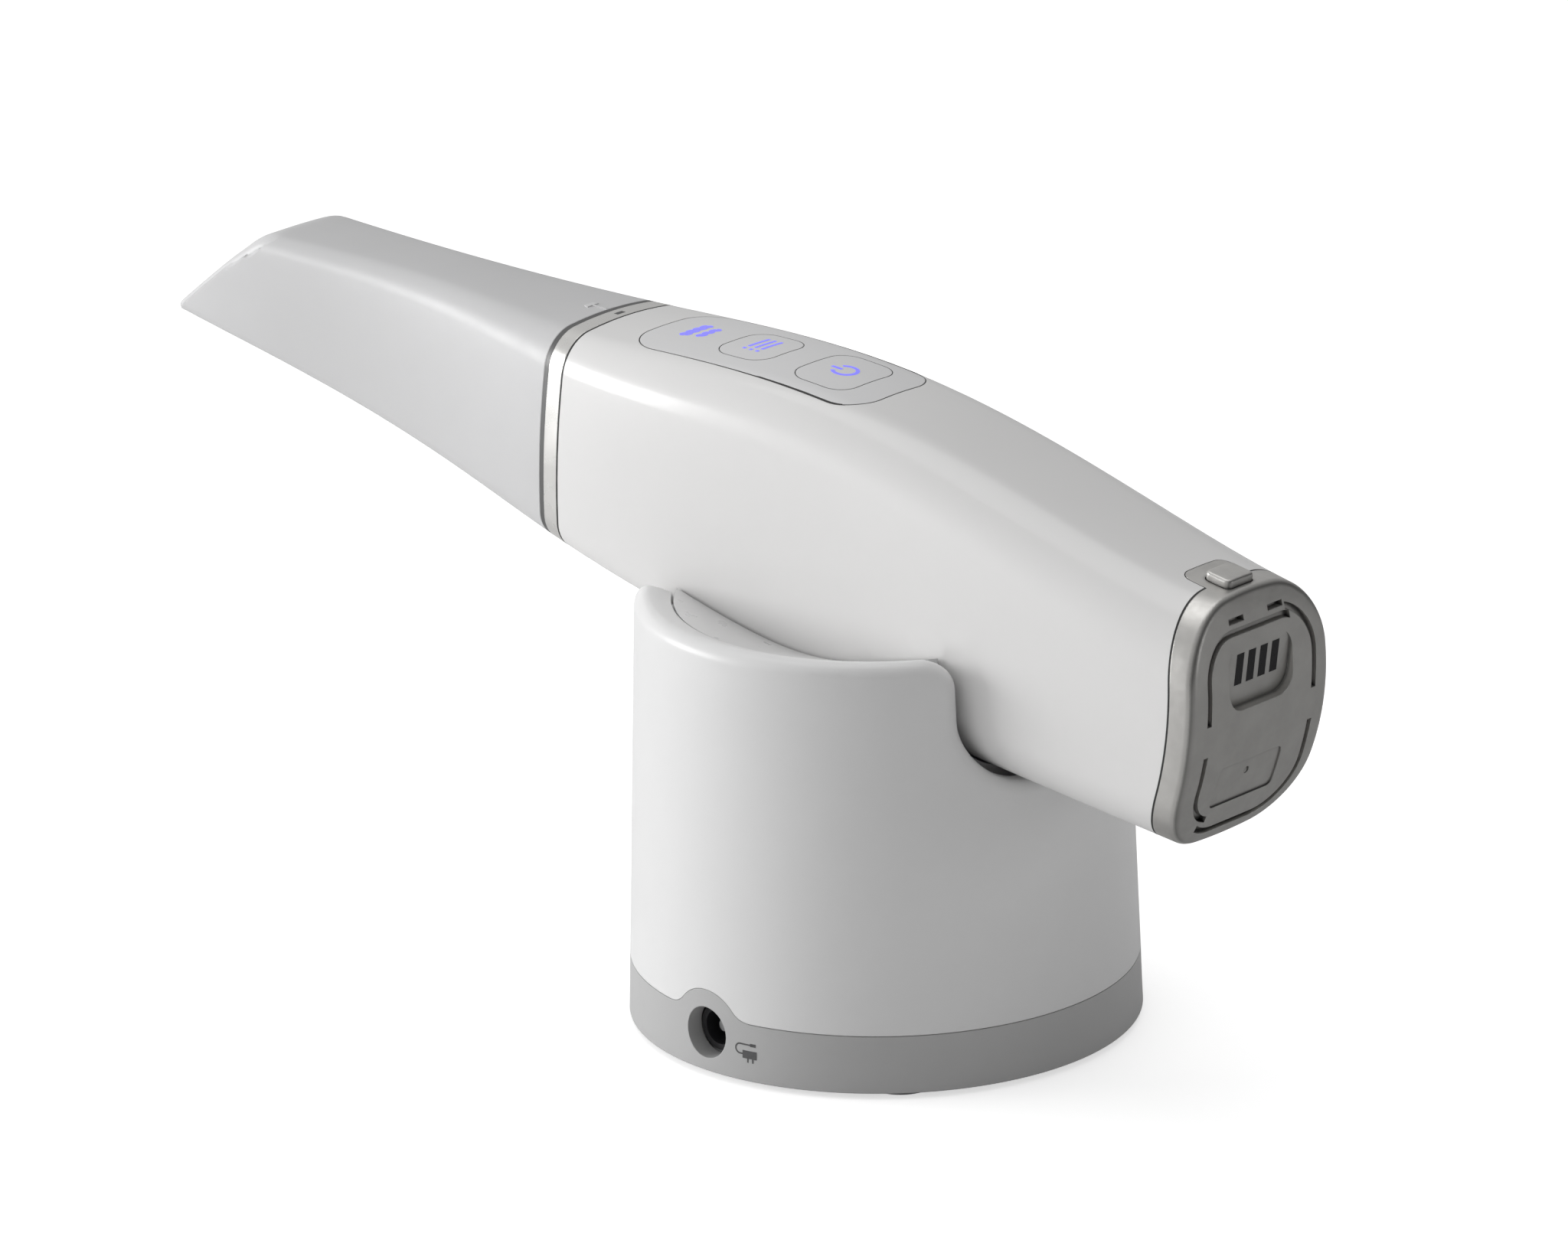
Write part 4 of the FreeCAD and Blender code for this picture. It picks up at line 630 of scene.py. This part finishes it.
# ---- the handpiece ---------------------------------------------------------------------------
refined("body_shell", "glossy_body", field=on_skin)
round_tip(refined("tip_shell", "mirror_tip", angle=40))
refined("tip_seal", "tip_joint", field=on_skin)
refined("bezel_gasket", "bezel_line", field=on_skin)
refined("bezel_ring", "bezel_band", field=on_skin)
refined("button_panel", "key_panel", field=on_skin)
refined("mode_button", "mode_key", field=on_skin)
refined("power_button", "power_key", field=on_skin)
refined("cap_seal", "cap_joint", field=on_skin)
refined("battery_cap", "pack_cap", angle=32)
refined("latch_button", "latch_key", angle=40)

# the lit marks: two wavy bars for scanning, a generic list mark on the mode key, a power mark
PANEL_TOP, MODE_TOP, POWER_TOP = on_top("button_panel"), on_top("mode_button"), on_top("power_button")
TIP_TOP, BEZEL_TOP = on_top("tip_shell"), on_top("bezel_ring")
POWER_S, MODE_S = 88.5, 105.9


INLAY = 0.03  # half the thickness of a printed or lit mark


def lit(name, line, widths, body, place):
    """A mark that glows through the light guide."""
    strip(name, line, widths, "glow_blue", body, place, INLAY, slot="light_guide")


def across_at(station, low, high, count):
    """A line across the handpiece at one station."""
    return np.stack([np.full(count, station), np.linspace(low, high, count)], axis=1)


def along_at(start, end, w, count):
    """A line along the handpiece, w off its middle."""
    return np.stack([np.linspace(start, end, count), np.full(count, w)], axis=1)


WAVE_RATE, WAVE_SWAY, WAVE_SWELL, TAPER_OVER = 3.7, 0.2, 0.13, 0.45
for name, station, low, high, wide in (
    ("scan_mark_long", 120.0, -3.2, 3.6, 1.45),
    ("scan_mark_short", 117.4, -2.4, 2.9, 1.15),
):
    w_line = np.linspace(low, high, 61)
    phase = (w_line - low) * WAVE_RATE
    taper = np.clip(np.minimum(w_line - low, high - w_line) / TAPER_OVER, 0.05, 1.0) ** 0.5
    line = np.stack([station + WAVE_SWAY * np.sin(phase), w_line], axis=1)
    lit(name, line, wide * taper * (1 - WAVE_SWELL * np.cos(phase)), "handpiece", PANEL_TOP)

RING_RADIUS, RING_W = 2.0, 0.3
turn = np.linspace(math.radians(38), math.radians(322), 61)
ring = np.stack([POWER_S + RING_RADIUS * np.cos(turn), RING_W + RING_RADIUS * np.sin(turn)], axis=1)
lit("power_mark_ring", ring, 0.62, "power_key", POWER_TOP)
lit("power_mark_bar", along_at(POWER_S + 0.7, POWER_S + 2.75, RING_W, 9), 0.6, "power_key", POWER_TOP)
LIST_FRONT, LIST_PITCH = MODE_S + 1.5, 1.35
for row in range(3):
    station = LIST_FRONT - LIST_PITCH * row
    lit(f"mode_mark_bar_{row}", across_at(station, -1.4, 3.6, 13), 0.5, "mode_key", MODE_TOP)
    lit(f"mode_mark_dot_{row}", across_at(station, -2.7, -2.1, 5), 0.55, "mode_key", MODE_TOP)


GAP_WIDTH, GAP_DEPTH = 0.36, 0.12
INSIDE = 0.93  # share of the outline's reach at which the key or panel is sure to be under it


def gap_shade_line(name, rear, front, half, corner_radius, body, place):
    """A dark thread of painted shade lying in the gap round a rounded rectangle on the handpiece's top."""
    outline = []
    for turned, s_mid, w_mid in (
        (0, front - corner_radius, half - corner_radius),
        (90, rear + corner_radius, half - corner_radius),
        (180, rear + corner_radius, corner_radius - half),
        (270, front - corner_radius, corner_radius - half),
    ):
        sweep = np.radians(np.linspace(turned, turned + 90, 13))
        outline += [(s_mid + corner_radius * math.cos(a), w_mid + corner_radius * math.sin(a)) for a in sweep]
    outline = np.array(outline)
    legs = [np.linspace(outline[i - 1], outline[i], 9)[1:] for i in range(len(outline))]
    spaced = np.concatenate([leg if np.ptp(leg, axis=0).max() > 2 else leg[-1:] for leg in legs])
    centre = np.array([(rear + front) / 2, 0.0])

    def sunk(s, w, lift):
        """Takes the height a little inside the outline, where the key or panel is."""
        inner = centre + (np.stack([s, w], axis=1) - centre) * INSIDE
        level = to_handpiece(place(inner[:, 0], inner[:, 1], 0.0))[:, 2]
        level += skin_top(s, w) - skin_top(inner[:, 0], inner[:, 1])
        return to_row(np.stack([s, w, level - GAP_DEPTH + lift], axis=1))

    strip(name, spaced, GAP_WIDTH, "socket_dark", body, sunk, INLAY, closed=True, slot="gasket_black")


PANEL_REAR, PANEL_FRONT, PANEL_HALF, PANEL_CORNER = 76.95, 126.05, 10.25, 6.05
MODE_LONG, MODE_HALF, POWER_LONG, POWER_HALF, KEY_CORNER = 5.38, 6.38, 5.98, 7.18, 3.68
# painted shade: dark threads in the gaps round the panel and the two keys
gap_shade_line("panel_gap_line", PANEL_REAR, PANEL_FRONT, PANEL_HALF, PANEL_CORNER, "handpiece", PANEL_TOP)
for name, middle, long, half, place in (
    ("mode_gap_line", MODE_S, MODE_LONG, MODE_HALF, MODE_TOP),
    ("power_gap_line", POWER_S, POWER_LONG, POWER_HALF, POWER_TOP),
):
    gap_shade_line(name, middle - long, middle + long, half, KEY_CORNER, "handpiece", place)

# the line-up arrow on the tip and the matching notch on the bezel
RAISED = 0.15  # how far the moulded arrow stands off the tip
for name, start, end, widths in (
    ("tip_mark_stem", 139.0, 142.4, np.linspace(0.35, 0.5, 9)),
    ("tip_mark_head", 142.2, 143.2, np.linspace(2.6, 2.2, 7)),
):
    line = along_at(start, end, 0.0, len(widths))
    strip(name, line, widths, "mark_pale", "tip", TIP_TOP, RAISED, slot="tip_grey")
notch = across_at(136.4, -0.9, 0.9, 9)
strip("bezel_mark", notch, 0.8, "mark_grey", "handpiece", BEZEL_TOP, INLAY, slot="gasket_black")


# ---- the cradle ------------------------------------------------------------------------------
refined("cradle_shell", "cradle_body", angle=32)
refined("saddle_liner", "saddle_dish", angle=32)
refined("base_ring", "base_band", angle=32)

BASE_RADIUS, DRAFT, FOOT = 41.4, math.radians(1.94), 1.0
SOCKET_ANGLE = math.radians(267.5)


def on_base(turned, height, lift):
    """Places inlay points on the base band: turned is millimetres round from the socket."""
    radius = BASE_RADIUS - (height - FOOT) * math.tan(DRAFT) + lift
    angle = SOCKET_ANGLE + np.asarray(turned) / BASE_RADIUS
    return np.stack([CRADLE_X + radius * np.cos(angle), radius * np.sin(angle), height], axis=1) * MM


# a generic power adapter: a lead that loops to a plug body with two prongs
LOOP_RADIUS, LOOP_ROUND, LOOP_UP = 0.8, 7.0, 6.25
LEAD_HIGH, LEAD_LOW = LOOP_UP + LOOP_RADIUS, LOOP_UP - LOOP_RADIUS
bend = np.linspace(math.pi / 2, 1.5 * math.pi, 21)
loop = np.stack([LOOP_ROUND + LOOP_RADIUS * np.cos(bend), LOOP_UP + LOOP_RADIUS * np.sin(bend)], axis=1)
lead = np.concatenate([along_at(9.4, 7.2, LEAD_HIGH, 9), loop, along_at(7.1, 7.8, LEAD_LOW, 7)])
for name, line, width in (
    ("adapter_lead", lead, 0.24),
    ("adapter_plug", along_at(8.9, 9.9, LEAD_HIGH, 5), 0.5),
    ("adapter_body", along_at(7.5, 10.1, 5.4, 7), 1.3),
    ("adapter_prong_0", across_at(8.5, 4.8, 4.1, 4), 0.26),
    ("adapter_prong_1", across_at(9.4, 4.8, 4.1, 4), 0.26),
):
    strip(name, line, width, "mark_grey", "cradle", on_base, INLAY, slot="black_plastic")


# ---- floor, light, camera --------------------------------------------------------------------
FLOOR_EDGE, FLOOR_LIFT = 6.0, 0.6
BRIGHT_SIDE, DARK_LEVEL, BRIGHT_LEVEL = Vector((-0.85, -0.45, 0.3)), 0.16, 0.62
DARK_FROM, BRIGHT_FROM = -0.75, 0.85


def area_light(name, where, target, wide, tall, power):
    """A rectangular lamp at one place in metres, turned to another."""
    lamp = bpy.data.lights.new(name, "AREA")
    lamp.shape = "RECTANGLE"
    lamp.size = wide
    lamp.size_y = tall
    lamp.energy = power
    item = bpy.data.objects.new(name, lamp)
    item.location = where
    item.rotation_euler = (Vector(target) - Vector(where)).to_track_quat("-Z", "Y").to_euler()
    bpy.context.scene.collection.objects.link(item)


def make_floor():
    """A pale floor that the camera sees a little brighter than the light it sends back up."""
    mesh = bpy.data.meshes.new("floor")
    corners = [(x * FLOOR_EDGE, y * FLOOR_EDGE, 0) for x, y in ((-1, -1), (1, -1), (1, 1), (-1, 1))]
    mesh.from_pydata(corners, [], [(0, 1, 2, 3)])
    floor = bpy.data.objects.new("floor", mesh)
    bpy.context.scene.collection.objects.link(floor)
    look = finish_material("floor_pale", color=(0.82, 0.82, 0.82), rough=0.7, shade=0.004, shade_scale=3)
    nodes, links = look.node_tree.nodes, look.node_tree.links
    path = nodes.new("ShaderNodeLightPath")
    lift = nodes.new("ShaderNodeMath")
    lift.operation = "MULTIPLY"
    lift.inputs[1].default_value = FLOOR_LIFT
    shader = next(n for n in nodes if n.type == "BSDF_PRINCIPLED")
    links.new(path.outputs["Is Camera Ray"], lift.inputs[0])
    links.new(lift.outputs["Value"], shader.inputs["Emission Strength"])
    shader.inputs["Emission Color"].default_value = (1, 1, 1, 1)
    mesh.materials.append(look)


def make_world():
    """Soft studio surroundings, brighter on the camera's left and darker behind its right shoulder."""
    world = bpy.data.worlds.new("studio")
    bpy.context.scene.world = world
    world.use_nodes = True
    nodes, links = world.node_tree.nodes, world.node_tree.links
    background = nodes["Background"]
    place = nodes.new("ShaderNodeTexCoord")
    dot = nodes.new("ShaderNodeVectorMath")
    dot.operation = "DOT_PRODUCT"
    dot.inputs[1].default_value = BRIGHT_SIDE.normalized()
    links.new(place.outputs["Generated"], dot.inputs[0])
    remap = nodes.new("ShaderNodeMapRange")
    remap.interpolation_type = "SMOOTHSTEP"
    remap.inputs["From Min"].default_value = DARK_FROM
    remap.inputs["From Max"].default_value = BRIGHT_FROM
    remap.inputs["To Min"].default_value = DARK_LEVEL
    remap.inputs["To Max"].default_value = BRIGHT_LEVEL
    links.new(dot.outputs["Value"], remap.inputs["Value"])
    background.inputs["Color"].default_value = (1, 1, 1, 1)
    links.new(remap.outputs["Result"], background.inputs["Strength"])


make_floor()
make_world()
area_light("left_softbox", (-1.35, -0.95, 0.35), (0, 0, 0.08), wide=0.9, tall=0.7, power=16.0)
area_light("top_softbox", (-0.2, 0.2, 1.5), (0, 0, 0.05), wide=1.2, tall=0.9, power=4.3)
area_light("right_fill", (1.1, 0.5, 0.25), (0.03, 0, 0.05), wide=0.5, tall=0.4, power=1.1)

# the photo's camera: how far round, how high, its tilt, its distance in metres, its lens and its aim
AZIMUTH, ELEVATION, ROLL = math.radians(42.018), math.radians(18.385), math.radians(1.125)
DISTANCE, LENS, AIM_BEFORE_CRADLE, AIM_HEIGHT = 1.4, 200.08, 20.58, 61.3
level_back = Vector((math.sin(AZIMUTH), -math.cos(AZIMUTH), 0))
back = level_back * math.cos(ELEVATION) + Vector((0, 0, math.sin(ELEVATION)))
right = Vector((math.cos(AZIMUTH), math.sin(AZIMUTH), 0))
level = back.cross(right)
tilted_right = math.cos(ROLL) * right - math.sin(ROLL) * level
tilted_up = math.sin(ROLL) * right + math.cos(ROLL) * level
camera_data = bpy.data.cameras.new("camera")
camera_data.sensor_width = 36.0
camera_data.sensor_fit = "HORIZONTAL"
camera_data.lens = LENS
camera_data.clip_start = 0.05
camera_data.clip_end = 20.0
camera = bpy.data.objects.new("camera", camera_data)
bpy.context.scene.collection.objects.link(camera)
turned = Matrix((tilted_right, tilted_up, back)).transposed().to_4x4()
aim = Vector((CRADLE_X - AIM_BEFORE_CRADLE, 0, AIM_HEIGHT)) * MM
camera.matrix_world = Matrix.Translation(aim + back * DISTANCE) @ turned
bpy.context.scene.camera = camera
bpy.context.scene.view_settings.view_transform = "Standard"
